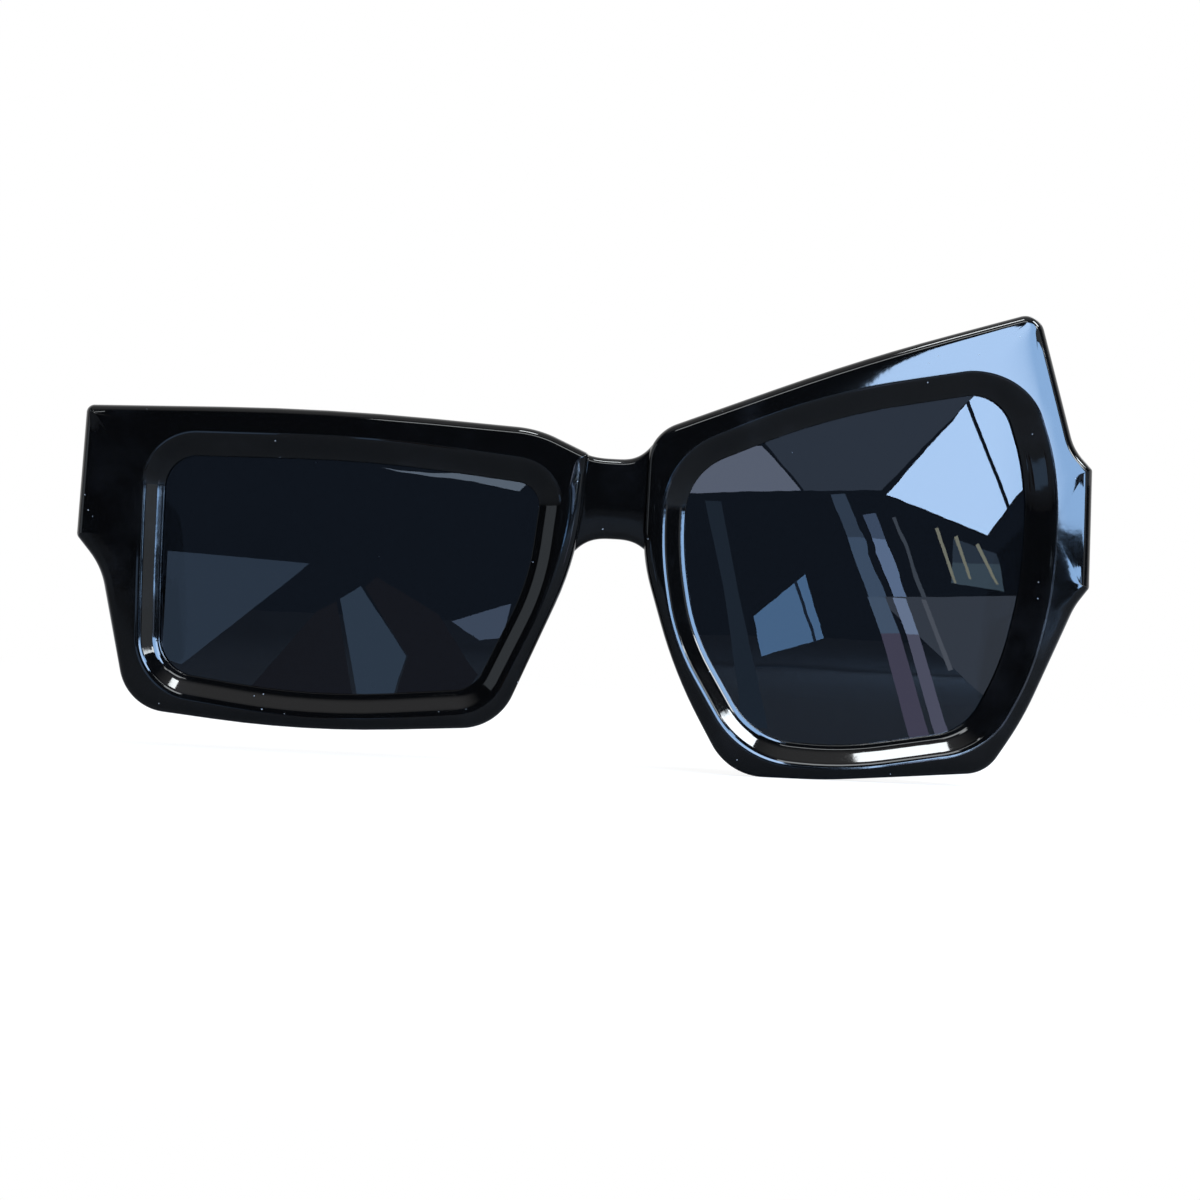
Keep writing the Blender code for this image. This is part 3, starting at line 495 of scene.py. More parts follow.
def corner_arc(corners, i, grow):
    """Start, centre, turn and end of the arc at a corner of the outline grown outwards."""
    here, soft = corners[i]
    way_in, way_out, turn = corner_turn(corners, i)
    side = math.copysign(1, turn)
    slope = math.tan(abs(turn) / 2)
    nearest = min(abs(here - corners[i - 1][0]), abs(corners[(i + 1) % len(corners)][0] - here))
    radius = max(soft * nearest / 2 / slope + side * grow, LEAST_ROUND)
    out_in = -1j * way_in
    out_out = -1j * way_out
    moved = here + grow * (out_in + out_out) / (1 + (out_in * out_out.conjugate()).real)
    start = moved - way_in * radius * slope
    return start, start + way_in * 1j * side * radius, turn, moved + way_out * radius * slope


def step_counts(edge, hole):
    """Divisions of each corner's arc and of the straight after it, shared by edge and hole."""
    counts = []
    total = len(edge)
    for i in range(total):
        turn = max(abs(corner_turn(edge, i)[2]), abs(corner_turn(hole, i)[2]))
        end = corner_arc(edge, i, 0.0)[3]
        following = corner_arc(edge, (i + 1) % total, 0.0)[0]
        straight = max(1, math.ceil(abs(following - end) / STRAIGHT_STEP))
        counts.append((2 + math.ceil(turn / BEND_STEP_ANGLE), straight))
    return counts


def outline(corners, counts, grow=0.0):
    """Closed outline with its corners bent to arcs that keep their centres when it grows."""
    arcs = [corner_arc(corners, i, grow) for i in range(len(corners))]
    points = []
    for i, (start, centre, turn, end) in enumerate(arcs):
        bend_steps, straight_steps = counts[i]
        for k in range(bend_steps + 1):
            points.append(centre + (start - centre) * cmath.exp(1j * turn * k / bend_steps))
        following = arcs[(i + 1) % len(arcs)][0]
        for k in range(1, straight_steps):
            points.append(end + (following - end) * k / straight_steps)
    return points


def blended(one, other, part):
    """Outline between two others, point by point."""
    return [a + (b - a) * part for a, b in zip(one, other)]


def placed(s, points, depth):
    """Outline set at a depth behind the front's face and bent with it."""
    return [Vector((p.real, depth + bend(s, p.real), p.imag)) for p in points]


def eased(corners):
    """Open profile through corners given as two places and a round, with its corners curved."""
    profile = [Vector(corners[0][:2])]
    for before, here, after in zip(corners, corners[1:], corners[2:]):
        place = Vector(here[:2])
        if not here[2]:
            profile.append(place)
            continue
        start = place + (Vector(before[:2]) - place).normalized() * here[2]
        end = place + (Vector(after[:2]) - place).normalized() * here[2]
        for k in range(CORNER_STEPS + 1):
            t = k / CORNER_STEPS
            profile.append(start * (1 - t) ** 2 + place * 2 * t * (1 - t) + end * t ** 2)
    profile.append(Vector(corners[-1][:2]))
    return profile


def held(profile, reach):
    """Profile with a point near both ends of each long stretch, which keeps its shading flat."""
    points = [profile[0]]
    for before, here in zip(profile, profile[1:]):
        way = here - before
        if way.length > 4 * reach:
            points += [before + way.normalized() * reach, here - way.normalized() * reach]
        points.append(here)
    return points


# Meshes

def skinned(name, rings, closed=False):
    """Body whose skin runs from ring to ring, capped at both ends or joined into a loop."""
    mesh = bmesh.new()
    rows = [[mesh.verts.new(point) for point in ring] for ring in rings]
    pairs = list(zip(rows, rows[1:]))
    if closed:
        pairs.append((rows[-1], rows[0]))
    else:
        mesh.faces.new(rows[0])
        mesh.faces.new(rows[-1])
    for near, far in pairs:
        for i in range(len(near)):
            j = (i + 1) % len(near)
            mesh.faces.new((near[i], near[j], far[j], far[i]))
    return finished(name, mesh)


def linked(name, data):
    """Object in the scene for a mesh, a lamp or a camera."""
    made = bpy.data.objects.new(name, data)
    bpy.context.scene.collection.objects.link(made)
    return made


def faced_out(mesh):
    """Turns the faces of a closed skin outwards."""
    bmesh.ops.recalc_face_normals(mesh, faces=mesh.faces)


def finished(name, mesh):
    """Object made from a bmesh, normals out."""
    faced_out(mesh)
    data = bpy.data.meshes.new(name)
    mesh.to_mesh(data)
    mesh.free()
    return linked(name, data)


def reworked(thing, work):
    """Changes a body's mesh by a function of its bmesh."""
    mesh = bmesh.new()
    mesh.from_mesh(thing.data)
    work(mesh)
    mesh.to_mesh(thing.data)
    mesh.free()
    return thing


def box(name, low, high):
    """Block between two opposite corners."""
    mesh = bmesh.new()
    bmesh.ops.create_cube(mesh, size=1.0)
    size = Vector(high) - Vector(low)
    middle = (Vector(high) + Vector(low)) / 2
    bmesh.ops.transform(mesh, matrix=Matrix.Translation(middle) @ Matrix.Diagonal((*size, 1.0)),
                        verts=mesh.verts)
    return finished(name, mesh)


def bevelled(thing, width):
    """Rounds a body's hard edges."""
    def work(mesh):
        hard = [edge for edge in mesh.edges if edge.calc_face_angle(0.0) > SHARP_ANGLE]
        bmesh.ops.bevel(mesh, geom=hard, offset=width, segments=BEVEL_STEPS, profile=0.5,
                        affect="EDGES", clamp_overlap=True)

    return reworked(thing, work)


def circle(centre, radius, sides):
    """Profile of a round bar."""
    turns = [2 * math.pi * k / sides for k in range(sides)]
    return [(centre[0] + radius * math.cos(a), centre[1] + radius * math.sin(a)) for a in turns]


def evaluated(thing):
    """Replaces a body's mesh by what its modifiers make of it."""
    bpy.context.view_layer.update()
    seen = thing.evaluated_get(bpy.context.evaluated_depsgraph_get())
    result = bpy.data.meshes.new_from_object(seen)
    thing.modifiers.clear()
    thing.data = result
    return thing


def combined(body, tool, operation):
    """Joins or cuts one body with another, which is used up."""
    step = body.modifiers.new(operation.title(), "BOOLEAN")
    step.operation = operation
    step.solver = "EXACT"
    step.object = tool
    evaluated(body)
    bpy.data.objects.remove(tool, do_unlink=True)
    return body


def merged(body, other):
    """Puts the meshes of two bodies into one piece."""
    reworked(body, lambda mesh: mesh.from_mesh(other.data))
    bpy.data.objects.remove(other, do_unlink=True)
    return body


def upright(name, flat, heights):
    """Body with the same outline, given across and back, from one height to another."""
    return skinned(name, [[Vector((x, y, z)) for x, y in flat] for z in heights])


def hand_over(piece, s, slot, body, cad_node):
    """Sets a piece in the frame, gives it its finish, hangs it under its body and hides the
    imported part that it stands for.
    """
    piece.data.transform(Matrix.Translation(cad_shift(s)))
    piece.data.materials.clear()
    piece.data.materials.append(FINISHES[slot](s))
    piece.data.shade_smooth()
    piece.data.set_sharp_from_angle(angle=SHARP_ANGLE)
    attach(piece, body)
    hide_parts(cad_node)


# Node building

def node(tree, kind, plugs=None, **settings):
    """Adds a node, sets its options, and links or sets its inputs."""
    made = tree.nodes.new(kind)
    for name, value in settings.items():
        setattr(made, name, value)
    for key, value in (plugs or {}).items():
        if isinstance(value, bpy.types.NodeSocket):
            tree.links.new(value, made.inputs[key])
        else:
            made.inputs[key].default_value = value
    return made


def value_of(tree, kind, plugs=None, **settings):
    """First output of a new node."""
    return node(tree, kind, plugs, **settings).outputs[0]


def sums(tree, operation, *values):
    """Output of a Math node."""
    return value_of(tree, "ShaderNodeMath", dict(enumerate(values)), operation=operation)


def vector_of(tree, x=0.0, y=0.0, z=0.0):
    """Vector put together from its parts."""
    return value_of(tree, "ShaderNodeCombineXYZ", {0: x, 1: y, 2: z})


def part_of(tree, vector, axis):
    """One part of a vector."""
    return node(tree, "ShaderNodeSeparateXYZ", {0: vector}).outputs[axis]


def smooth(tree, value, low, high, bottom=0.0, top=1.0):
    """Soft step from one level to another between two values."""
    return value_of(tree, "ShaderNodeMapRange",
                    {"Value": value, "From Min": low, "From Max": high, "To Min": bottom,
                     "To Max": top}, interpolation_type="SMOOTHSTEP")


def noise(tree, place, scale, detail, roughness):
    """Cloudy pattern."""
    return value_of(tree, "ShaderNodeTexNoise", {"Vector": place, "Scale": scale,
                                                 "Detail": detail, "Roughness": roughness})


def group_of(name, kind, inputs, outputs):
    """Empty node group with named sockets, and the sockets that lead into and out of it."""
    tree = bpy.data.node_groups.new(name, kind)
    for label, socket, default in inputs:
        made = tree.interface.new_socket(label, in_out="INPUT", socket_type=socket)
        if default is not None:
            made.default_value = default
    for label, socket in outputs:
        tree.interface.new_socket(label, in_out="OUTPUT", socket_type=socket)
    return (tree, tree.nodes.new("NodeGroupInput").outputs,
            tree.nodes.new("NodeGroupOutput").inputs)


def shape_group(name, *inputs):
    """Geometry tree with a shape, its own inputs and a finish."""
    return group_of(name, "GeometryNodeTree",
                    (("Geometry", "NodeSocketGeometry", None), *inputs,
                     ("Finish", "NodeSocketMaterial", None)),
                    (("Geometry", "NodeSocketGeometry"),))


def closed_group(tree, given, result, shape):
    """Ends a geometry tree with real meshes in their finish."""
    real = value_of(tree, "GeometryNodeRealizeInstances", {"Geometry": shape})
    coloured = value_of(tree, "GeometryNodeSetMaterial",
                        {"Geometry": real, "Material": given["Finish"]})
    tree.links.new(coloured, result["Geometry"])
    return tree


def pattern_group(name, output, **values):
    """Shader group that reads a place and its own values, and puts out one value."""
    inputs = [(labelled(key), "NodeSocketFloat", value) for key, value in values.items()]
    return group_of(name, "ShaderNodeTree", (("Place", "NodeSocketVector", None), *inputs),
                    ((output, "NodeSocketFloat"),))


def labelled(key):
    """Name of a socket as people read it."""
    return key.replace("_", " ").capitalize()


def shared(name, maker):
    """A node group by name, built when first asked for."""
    return bpy.data.node_groups.get(name) or maker(name)


def socket_key(tree, label):
    """Identifier of a group's input, by which a modifier knows it."""
    for item in tree.interface.items_tree:
        if item.item_type == "SOCKET" and item.in_out == "INPUT" and item.name == label:
            return item.identifier
    raise KeyError(label)


def grown(thing, name, maker, **values):
    """Runs a geometry tree on a body with the given inputs and keeps the mesh."""
    step = thing.modifiers.new(name, "NODES")
    step.node_group = shared(name, maker)
    for key, value in values.items():
        step[socket_key(step.node_group, labelled(key))] = value
    return evaluated(thing)


# Geometry trees

def arm_tree(name):
    """Sweeps a rounded oblong along a line of points that carry its height and thickness.

    Each point stands at the middle of the arm and has its size (thickness, height, round)
    in the attribute section and its slope in the attribute lean.
    """
    tree, given, result = shape_group(name, ("Round steps", "NodeSocketInt", 6))
    per_corner = sums(tree, "ADD", given["Round steps"], 1.0)
    total = sums(tree, "MULTIPLY", per_corner, 4.0)
    index = value_of(tree, "GeometryNodeInputIndex")
    quarter = sums(tree, "FLOOR", sums(tree, "DIVIDE", sums(tree, "ADD", index, 0.5), per_corner))
    step = sums(tree, "SUBTRACT", index, sums(tree, "MULTIPLY", quarter, per_corner))
    part = sums(tree, "ADD", quarter, sums(tree, "DIVIDE", step, given["Round steps"]))
    angle = sums(tree, "MULTIPLY", part, math.pi / 2)
    middle = sums(tree, "MULTIPLY", sums(tree, "ADD", quarter, 0.5), math.pi / 2)
    corner = vector_of(tree, sums(tree, "SIGN", sums(tree, "COSINE", middle)),
                       sums(tree, "SIGN", sums(tree, "SINE", middle)))
    curve = vector_of(tree, sums(tree, "COSINE", angle), sums(tree, "SINE", angle))

    def stored(shape, label, value):
        return value_of(tree, "GeometryNodeStoreNamedAttribute",
                        {"Geometry": shape, "Name": label, "Value": value},
                        data_type="FLOAT_VECTOR", domain="POINT")

    def read(label, kind="FLOAT_VECTOR"):
        found = node(tree, "GeometryNodeInputNamedAttribute", {"Name": label}, data_type=kind)
        return found.outputs["Attribute"]

    def reach(axis):
        size, to_corner, to_curve = (part_of(tree, read(label), axis)
                                     for label in ("section", "corner", "curve"))
        rounding = part_of(tree, read("section"), 2)
        flat = sums(tree, "SUBTRACT", sums(tree, "MULTIPLY", size, 0.5), rounding)
        return sums(tree, "ADD", sums(tree, "MULTIPLY", flat, to_corner),
                    sums(tree, "MULTIPLY", rounding, to_curve))

    profile = value_of(tree, "GeometryNodeCurvePrimitiveCircle", {"Resolution": total},
                       mode="RADIUS")
    profile = stored(stored(profile, "corner", corner), "curve", curve)
    line = stored(value_of(tree, "GeometryNodeMeshToCurve", {"Mesh": given["Geometry"]}),
                  "middle", value_of(tree, "GeometryNodeInputPosition"))
    swept = value_of(tree, "GeometryNodeCurveToMesh",
                     {"Curve": line, "Profile Curve": profile, "Fill Caps": True})
    up = reach(1)
    lean = read("lean", "FLOAT")
    back = sums(tree, "MULTIPLY", sums(tree, "MULTIPLY", up, sums(tree, "SINE", lean)), -1.0)
    offset = vector_of(tree, reach(0), back,
                       sums(tree, "MULTIPLY", up, sums(tree, "COSINE", lean)))
    place = value_of(tree, "ShaderNodeVectorMath", {0: read("middle"), 1: offset},
                     operation="ADD")
    moved = value_of(tree, "GeometryNodeSetPosition", {"Geometry": swept, "Position": place})
    return closed_group(tree, given, result, moved)


def bar_tree(name):
    """Sweeps a round bar along a line of points and closes its ends."""
    tree, given, result = shape_group(name, ("Radius", "NodeSocketFloat", 0.001),
                                      ("Sides", "NodeSocketInt", 24))
    line = value_of(tree, "GeometryNodeMeshToCurve", {"Mesh": given["Geometry"]})
    profile = value_of(tree, "GeometryNodeCurvePrimitiveCircle",
                       {"Resolution": given["Sides"], "Radius": given["Radius"]}, mode="RADIUS")
    swept = value_of(tree, "GeometryNodeCurveToMesh",
                     {"Curve": line, "Profile Curve": profile, "Fill Caps": True})
    return closed_group(tree, given, result, swept)


def stack_tree(name):
    """Repeats a barrel upwards at an even pitch."""
    tree, given, result = shape_group(name, ("Count", "NodeSocketInt", 3),
                                      ("Pitch", "NodeSocketFloat", 0.001))
    places = value_of(tree, "GeometryNodeMeshLine",
                      {"Count": given["Count"], "Offset": vector_of(tree, z=given["Pitch"])})
    stood = value_of(tree, "GeometryNodeInstanceOnPoints",
                     {"Points": places, "Instance": given["Geometry"]})
    return closed_group(tree, given, result, stood)


# Surface effects that the finishes share

def waves_group(name):
    """Low waves left by hand polishing, with a finer ripple on them."""
    tree, given, result = pattern_group(name, "Height", wave_scale=60.0, ripple_scale=420.0,
                                        ripple_share=0.12)
    wide = noise(tree, given["Place"], given["Wave scale"], detail=1.0, roughness=0.4)
    fine = noise(tree, given["Place"], given["Ripple scale"], detail=2.0, roughness=0.5)
    height = sums(tree, "ADD", wide, sums(tree, "MULTIPLY", fine, given["Ripple share"]))
    tree.links.new(height, result["Height"])
    return tree


def smudge_group(name):
    """Patches where handling has left a faint film."""
    tree, given, result = pattern_group(name, "Mask", scale=110.0, spread=0.5)
    cloud = noise(tree, given["Place"], given["Scale"], detail=6.0, roughness=0.62)
    end = sums(tree, "ADD", given["Spread"], SMUDGE_FADE)
    tree.links.new(smooth(tree, cloud, given["Spread"], end), result["Mask"])
    return tree


def specks_group(name):
    """Scattered round dust specks, most of them too small to see alone."""
    tree, given, result = pattern_group(name, "Mask", scale=900.0, size=0.12, share=0.03)
    cells = node(tree, "ShaderNodeTexVoronoi", {"Vector": given["Place"], "Scale": given["Scale"],
                                                "Randomness": 1.0}, feature="F1").outputs
    near = sums(tree, "LESS_THAN", cells["Distance"], given["Size"])
    kept = sums(tree, "LESS_THAN", part_of(tree, cells["Color"], 0), given["Share"])
    tree.links.new(sums(tree, "MULTIPLY", near, kept), result["Mask"])
    return tree


def effect(tree, name, maker, place, **values):
    """Places a shared effect in a material with its own values."""
    plugs = {labelled(key): value for key, value in values.items()}
    return value_of(tree, "ShaderNodeGroup", {"Place": place, **plugs},
                    node_tree=shared(name, maker))


def smudges(tree, place, scale, spread):
    return effect(tree, "handling_smudges", smudge_group, place, scale=scale, spread=spread)


def specks(tree, place, scale, size, part):
    return effect(tree, "dust_specks", specks_group, place, scale=scale, size=size, share=part)


def waves(tree, place, wide, fine, part):
    return effect(tree, "polishing_waves", waves_group, place, wave_scale=wide,
                  ripple_scale=fine, ripple_share=part)


def mixed(tree, factor, one, other):
    """Colour between two others, through the colour sockets of a Mix node."""
    def colour(value):
        return value if isinstance(value, bpy.types.NodeSocket) else (*value, 1.0)

    return node(tree, "ShaderNodeMix", {0: factor, 6: colour(one), 7: colour(other)},
                data_type="RGBA").outputs[2]


# Finishes

def finish_of(name, s, paint, strength, distance, constants):
    """A finish by name, built when first asked for.

    Its paint returns its colour, roughness and height, the height is seen at the given strength
    and distance, and the constants are set on the shader's own sockets.
    """
    if name in bpy.data.materials:
        return bpy.data.materials[name]
    made = bpy.data.materials.new(name)
    made.use_nodes = True
    tree = made.node_tree
    place = node(tree, "ShaderNodeTexCoord").outputs["Object"]
    colour, rough, height = paint(tree, place, s.finish)
    bump = value_of(tree, "ShaderNodeBump", {"Height": height, "Strength": strength,
                                             "Distance": distance})
    shader = tree.nodes["Principled BSDF"].inputs
    for label, value in (("Base Color", colour), ("Roughness", rough), ("Normal", bump)):
        tree.links.new(value, shader[label])
    for label, value in constants.items():
        shader[label].default_value = value
    return made


def black_plastic(s):
    """Hand-polished black sheet plastic: jet black, faintly waved, with a little dust."""
    def paint(tree, place, f):
        smudge = smudges(tree, place, scale=70.0, spread=0.50)
        speck = specks(tree, place, scale=1500.0, size=0.15, part=0.012)
        colour = mixed(tree, smudge, f.plastic, f.plastic_haze)
        colour = mixed(tree, sums(tree, "MULTIPLY", speck, DUST_COVER), colour, f.dust)
        rough = sums(tree, "ADD", sums(tree, "MULTIPLY", smudge, SMUDGE_ROUGH), f.plastic_gloss)
        rough = sums(tree, "ADD", rough, sums(tree, "MULTIPLY", speck, DUST_ROUGH))
        return colour, rough, waves(tree, place, wide=75.0, fine=520.0, part=0.10)

    return finish_of("polished_black_plastic", s, paint, 1.0, 0.00004, {"IOR": 1.50})


def tinted_lens(s):
    """Flat-ground blue-grey lens with a faint film and a few specks."""
    def paint(tree, place, f):
        smudge = smudges(tree, place, scale=48.0, spread=0.52)
        speck = specks(tree, place, scale=900.0, size=0.12, part=0.006)
        colour = mixed(tree, smudge, f.lens, [value * LENS_SMUDGE_SHADE for value in f.lens])
        rough = sums(tree, "ADD", sums(tree, "MULTIPLY", smudge, LENS_SMUDGE_ROUGH),
                     sums(tree, "MULTIPLY", speck, LENS_DUST_ROUGH))
        return colour, rough, waves(tree, place, wide=26.0, fine=160.0, part=0.05)

    return finish_of("tinted_lens_plastic", s, paint, 1.0, 0.00002,
                     {"Transmission Weight": 1.0, "IOR": 1.50})


def hinge_steel(s):
    """Satin steel with fine drawn lines and slightly darker patches."""
    def paint(tree, place, f):
        drawn = value_of(tree, "ShaderNodeMapping", {"Vector": place, "Scale": (1.0, 1.0, 0.06)})
        lines = noise(tree, drawn, scale=9000.0, detail=3.0, roughness=0.6)
        patch = smudges(tree, place, scale=900.0, spread=0.45)
        colour = mixed(tree, patch, f.steel, [value * PATCH_SHADE for value in f.steel])
        rough = sums(tree, "ADD", sums(tree, "MULTIPLY", lines, LINE_ROUGH), STEEL_ROUGH)
        return colour, rough, lines

    return finish_of("satin_hinge_steel", s, paint, 0.6, 0.000004, {"Metallic": 1.0})


FINISHES = {"frame_plastic": black_plastic, "lens_tint": tinted_lens, "steel": hinge_steel}


# Front

def flare_weights(points):
    """How squarely each point of an outline faces the wearer's left, from 0 to 1."""
    weights = []
    for i, before in enumerate(points[-1:] + points[:-1]):
        way = points[(i + 1) % len(points)] - before
        weights.append(max(0.0, (-1j * way / abs(way)).real) ** 2)
    return weights


def rim(s, name, side_name, flare):
    """One rim as a loop of sections: edge, face that falls back, slope, lip, groove, back."""
    f = s.front
    edge, hole, counts = rim_corners(s, side_name)
    weights = flare_weights(outline(hole, counts))
    groove_front = s.lens.depth - f.gap
    groove_back = s.lens.depth + s.lens.thickness + f.gap
    seat = s.lens.seat + f.gap
    slope_top = f.lip_width + f.chamfer_width
    last = math.pi / 2 - math.atan(2 * FACE_FALL_SHARE)

    def edge_ring(rounding, angle):
        """The edge's outline part of the way round its rounding, and how deep that lies."""
        return (outline(edge, counts, -rounding * (1 - math.cos(angle))),
                rounding * (1 - math.sin(angle)))

    def inner_ring(grow):
        flared = flare * min(1.0, max(0.0, (grow - f.lip_width) / f.chamfer_width))
        narrow = outline(hole, counts, grow)
        if not flared:
            return narrow
        wide = outline(hole, counts, grow + flared)
        return [a + (b - a) * w for a, b, w in zip(narrow, wide, weights)]

    face_outer, outer_depth = edge_ring(f.edge_round, last)
    face_inner = inner_ring(slope_top + f.chamfer_round)
    falls = [FACE_FALL_SHARE * abs(a - b) for a, b in zip(face_outer, face_inner)]

    def fallen(ring, part):
        for point, fall in zip(ring, falls):
            point.y += fall * part
        return ring

    rings = [fallen(placed(s, *edge_ring(f.edge_round, last * k / EDGE_STEPS)), 1.0)
             for k in range(EDGE_STEPS + 1)]
    for t in [HOLD_SHARE, *(k / FACE_STEPS for k in range(1, FACE_STEPS)), 1 - HOLD_SHARE]:
        rings.append(fallen(placed(s, blended(face_outer, face_inner, t), outer_depth * (1 - t)),
                            (1 - t) ** 2))
    inner_profile = held(eased((
        (slope_top + f.chamfer_round, 0.0, 0.0),
        (slope_top, 0.0, f.chamfer_round * SLOPE_TOP_EASE),
        (f.lip_width, f.chamfer_depth, f.chamfer_round * SLOPE_FOOT_EASE),
        (0.0, f.lip_depth, f.gap / 2),
        (0.0, groove_front, 0.0),
        (seat, groove_front, 0.0),
        (seat, groove_back, 0.0),
        (0.0, groove_back, 0.0),
        (0.0, f.thickness - f.hole_round, f.hole_round * BACK_EDGE_EASE),
        (f.hole_round, f.thickness, f.hole_round * BACK_EDGE_EASE),
        (f.hole_round * 2, f.thickness, 0.0))), f.edge_round * HOLD_SHARE)
    for grow, depth in inner_profile:
        rings.append(placed(s, inner_ring(grow) if depth < f.chamfer_depth
                            else outline(hole, counts, grow), depth))
    back_inner = outline(hole, counts, f.hole_round * 2)
    back_outer = outline(edge, counts, -f.back_round)
    rings.append(placed(s, blended(back_inner, back_outer, 1 / 2), f.thickness))
    for k in range(EDGE_STEPS, -1, -1):
        points, inset = edge_ring(f.back_round, math.pi / 2 * k / EDGE_STEPS)
        rings.append(placed(s, points, f.thickness - inset))
    return skinned(name, rings, closed=True)


def bridge(s):
    """Low saddle between the rims: a rounded bar with a dipped top over a nose arch."""
    f = s.front
    half = f.bridge_span / 2
    middle = rim_box(s, "right")[0] + f.right_width + half
    rings = []
    for k in range(BRIDGE_STEPS + 1):
        x = (half + f.bridge_overlap) * (2 * k / BRIDGE_STEPS - 1)
        offset = abs(x) / half
        rise = f.bridge_rise_left if x > 0 else f.bridge_rise_right
        top = f.bridge_top + rise * min(offset, BRIDGE_RISE_END_SHARE) ** 3
        bottom = f.arch_apex - f.arch_drop * offset ** 3
        rings.append(bridge_section(s, middle + x, bottom, top))
    return skinned("bridge", rings)


def bridge_section(s, x, bottom, top):
    """Rounded rectangle across the bridge at one place."""
    f = s.front
    front = bend(s, x) + f.bridge_recess
    back = bend(s, x) + f.thickness - f.gap / 3
    centres = (
        (front + f.bridge_round, top - f.bridge_round, f.bridge_round),
        (back - f.back_round, top - f.back_round, f.back_round),
        (back - f.back_round, bottom + f.back_round, f.back_round),
        (front + f.bridge_round, bottom + f.bridge_round, f.bridge_round),
    )
    ring = []
    for quarter, (y, z, radius) in enumerate(centres):
        for k in range(EDGE_STEPS + 1):
            angle = math.pi - math.pi / 2 * (quarter + k / EDGE_STEPS)
            ring.append(Vector((x, y + radius * math.cos(angle), z + radius * math.sin(angle))))
    return ring


def build_front(s):
    body = rim(s, "polished_front", "right", 0.0)
    peaked = rim(s, "peaked_rim", "left", s.front.chamfer_flare)
    combined(body, bridge(s), "UNION")
    combined(body, peaked, "UNION")
    for side_name, side in SIDES:
        combined(body, front_plate(s, side_name + "_seat", side, s.front.gap), "DIFFERENCE")
    hand_over(body, s, "frame_plastic", "front", "front_frame")


# Lenses and nose pads

def build_lens(s, side_name, side):
    """Lens with a ground edge that fills the groove and bends with the front."""
    _, hole, counts = rim_corners(s, side_name)
    lens = s.lens
    bevel = min(lens.bevel, lens.seat / 2)
    wide = outline(hole, counts, lens.seat)
    narrow = outline(hole, counts, lens.seat - bevel)
    centre = [sum(wide) / len(wide)] * len(wide)
    front, back = lens.depth, lens.depth + lens.thickness
    shares = [k / LENS_RINGS for k in range(1, LENS_RINGS)]
    rings = [placed(s, blended(centre, narrow, t), front) for t in shares]
    rings += [placed(s, narrow, front), placed(s, wide, front + bevel),
              placed(s, wide, back - bevel), placed(s, narrow, back)]
    rings += [placed(s, blended(centre, narrow, t), back) for t in shares[::-1]]
    made = skinned(side_name + "_tinted_lens", rings)
    hand_over(made, s, "lens_tint", "front", side_name + "_lens")


def build_pad(s, side_name, side):
    """Pebble behind the rim's nose side, widest half way down and leaning to the nose."""
    p = s.pad
    pair = RIMS[side_name][2]
    corners = corners_of(s, side_name, RIMS[side_name][0])
    first, last = (corners[i][0] for i in pair)
    way = (last - first) / abs(last - first)
    toward_nose = way * (-1j if pair[0] < pair[1] else 1j)
    start_share = p.right_start if side < 0 else p.left_start
    start = first + (last - first) * start_share - toward_nose * p.inset
    rings = []
    for k in range(PAD_STEPS + 1):
        part = PAD_END_SHARE + (1 - 2 * PAD_END_SHARE) * k / PAD_STEPS
        along = (1 - math.cos(math.pi * part)) / 2
        reach = math.sqrt(math.sin(math.pi * along))
        ring = []
        for step in range(PAD_SIDES + 1):
            angle = math.pi * step / PAD_SIDES
            rise = p.height * reach * math.sin(angle)
            aside = p.width / 2 * reach * math.cos(angle) + p.lean * math.sin(angle) * reach
            place = start + way * p.length * along + toward_nose * aside
            ring.append(Vector((place.real, bend(s, place.real) + s.front.thickness
                                + s.front.gap + rise, place.imag)))
        rings.append(ring)
    made = skinned(side_name + "_glued_pad", rings)
    hand_over(made, s, "frame_plastic", "front", side_name + "_nose_pad")


# Temples

def temple_run(s):
    """Lengths of the straight run and of the ear bend, and where the temple starts."""
    t = s.temple
    arc = t.bend_radius * (t.tip_angle - t.fall)
    return (t.length - arc - t.tip_straight - t.tip_round, arc,
            bend(s, temple_inner(s)) + s.front.thickness + s.front.gap)


def temple_path(s, along):
    """Middle of the temple at a length along it: back, up, and the way it points."""
    t = s.temple
    run, arc, _ = temple_run(s)
    straight = min(along, run)
    y = straight * math.cos(t.fall)
    z = -straight * math.sin(t.fall)
    turned = min(max(along - run, 0.0), arc) / t.bend_radius
    y += t.bend_radius * (math.sin(turned + t.fall) - math.sin(t.fall))
    z -= t.bend_radius * (math.cos(t.fall) - math.cos(turned + t.fall))
    rest = max(along - run - arc, 0.0)
    angle = -t.fall - turned
    return y + rest * math.cos(angle), z + rest * math.sin(angle), angle


def temple_lengths(s):
    """Lengths along the temple where its section is drawn."""
    t = s.temple
    run, arc, _ = temple_run(s)

    def marks(start, reach, count):
        return [start + reach * k / count for k in range(count)]

    steps = TEMPLE_STEPS
    straight_end = run + arc + t.tip_straight
    tip = [math.sin(math.pi / 2 * k / steps["tip"]) for k in range(1, steps["tip"] + 1)]
    return (marks(0.0, t.end_reach, steps["end"])
            + marks(t.end_reach, run - t.end_reach, steps["run"])
            + marks(run, arc, steps["bend"])
            + marks(run + arc, t.tip_straight, steps["straight"]) + [straight_end]
            + [t.length - t.tip_round * (1 - part * TIP_END_SHARE) for part in tip])


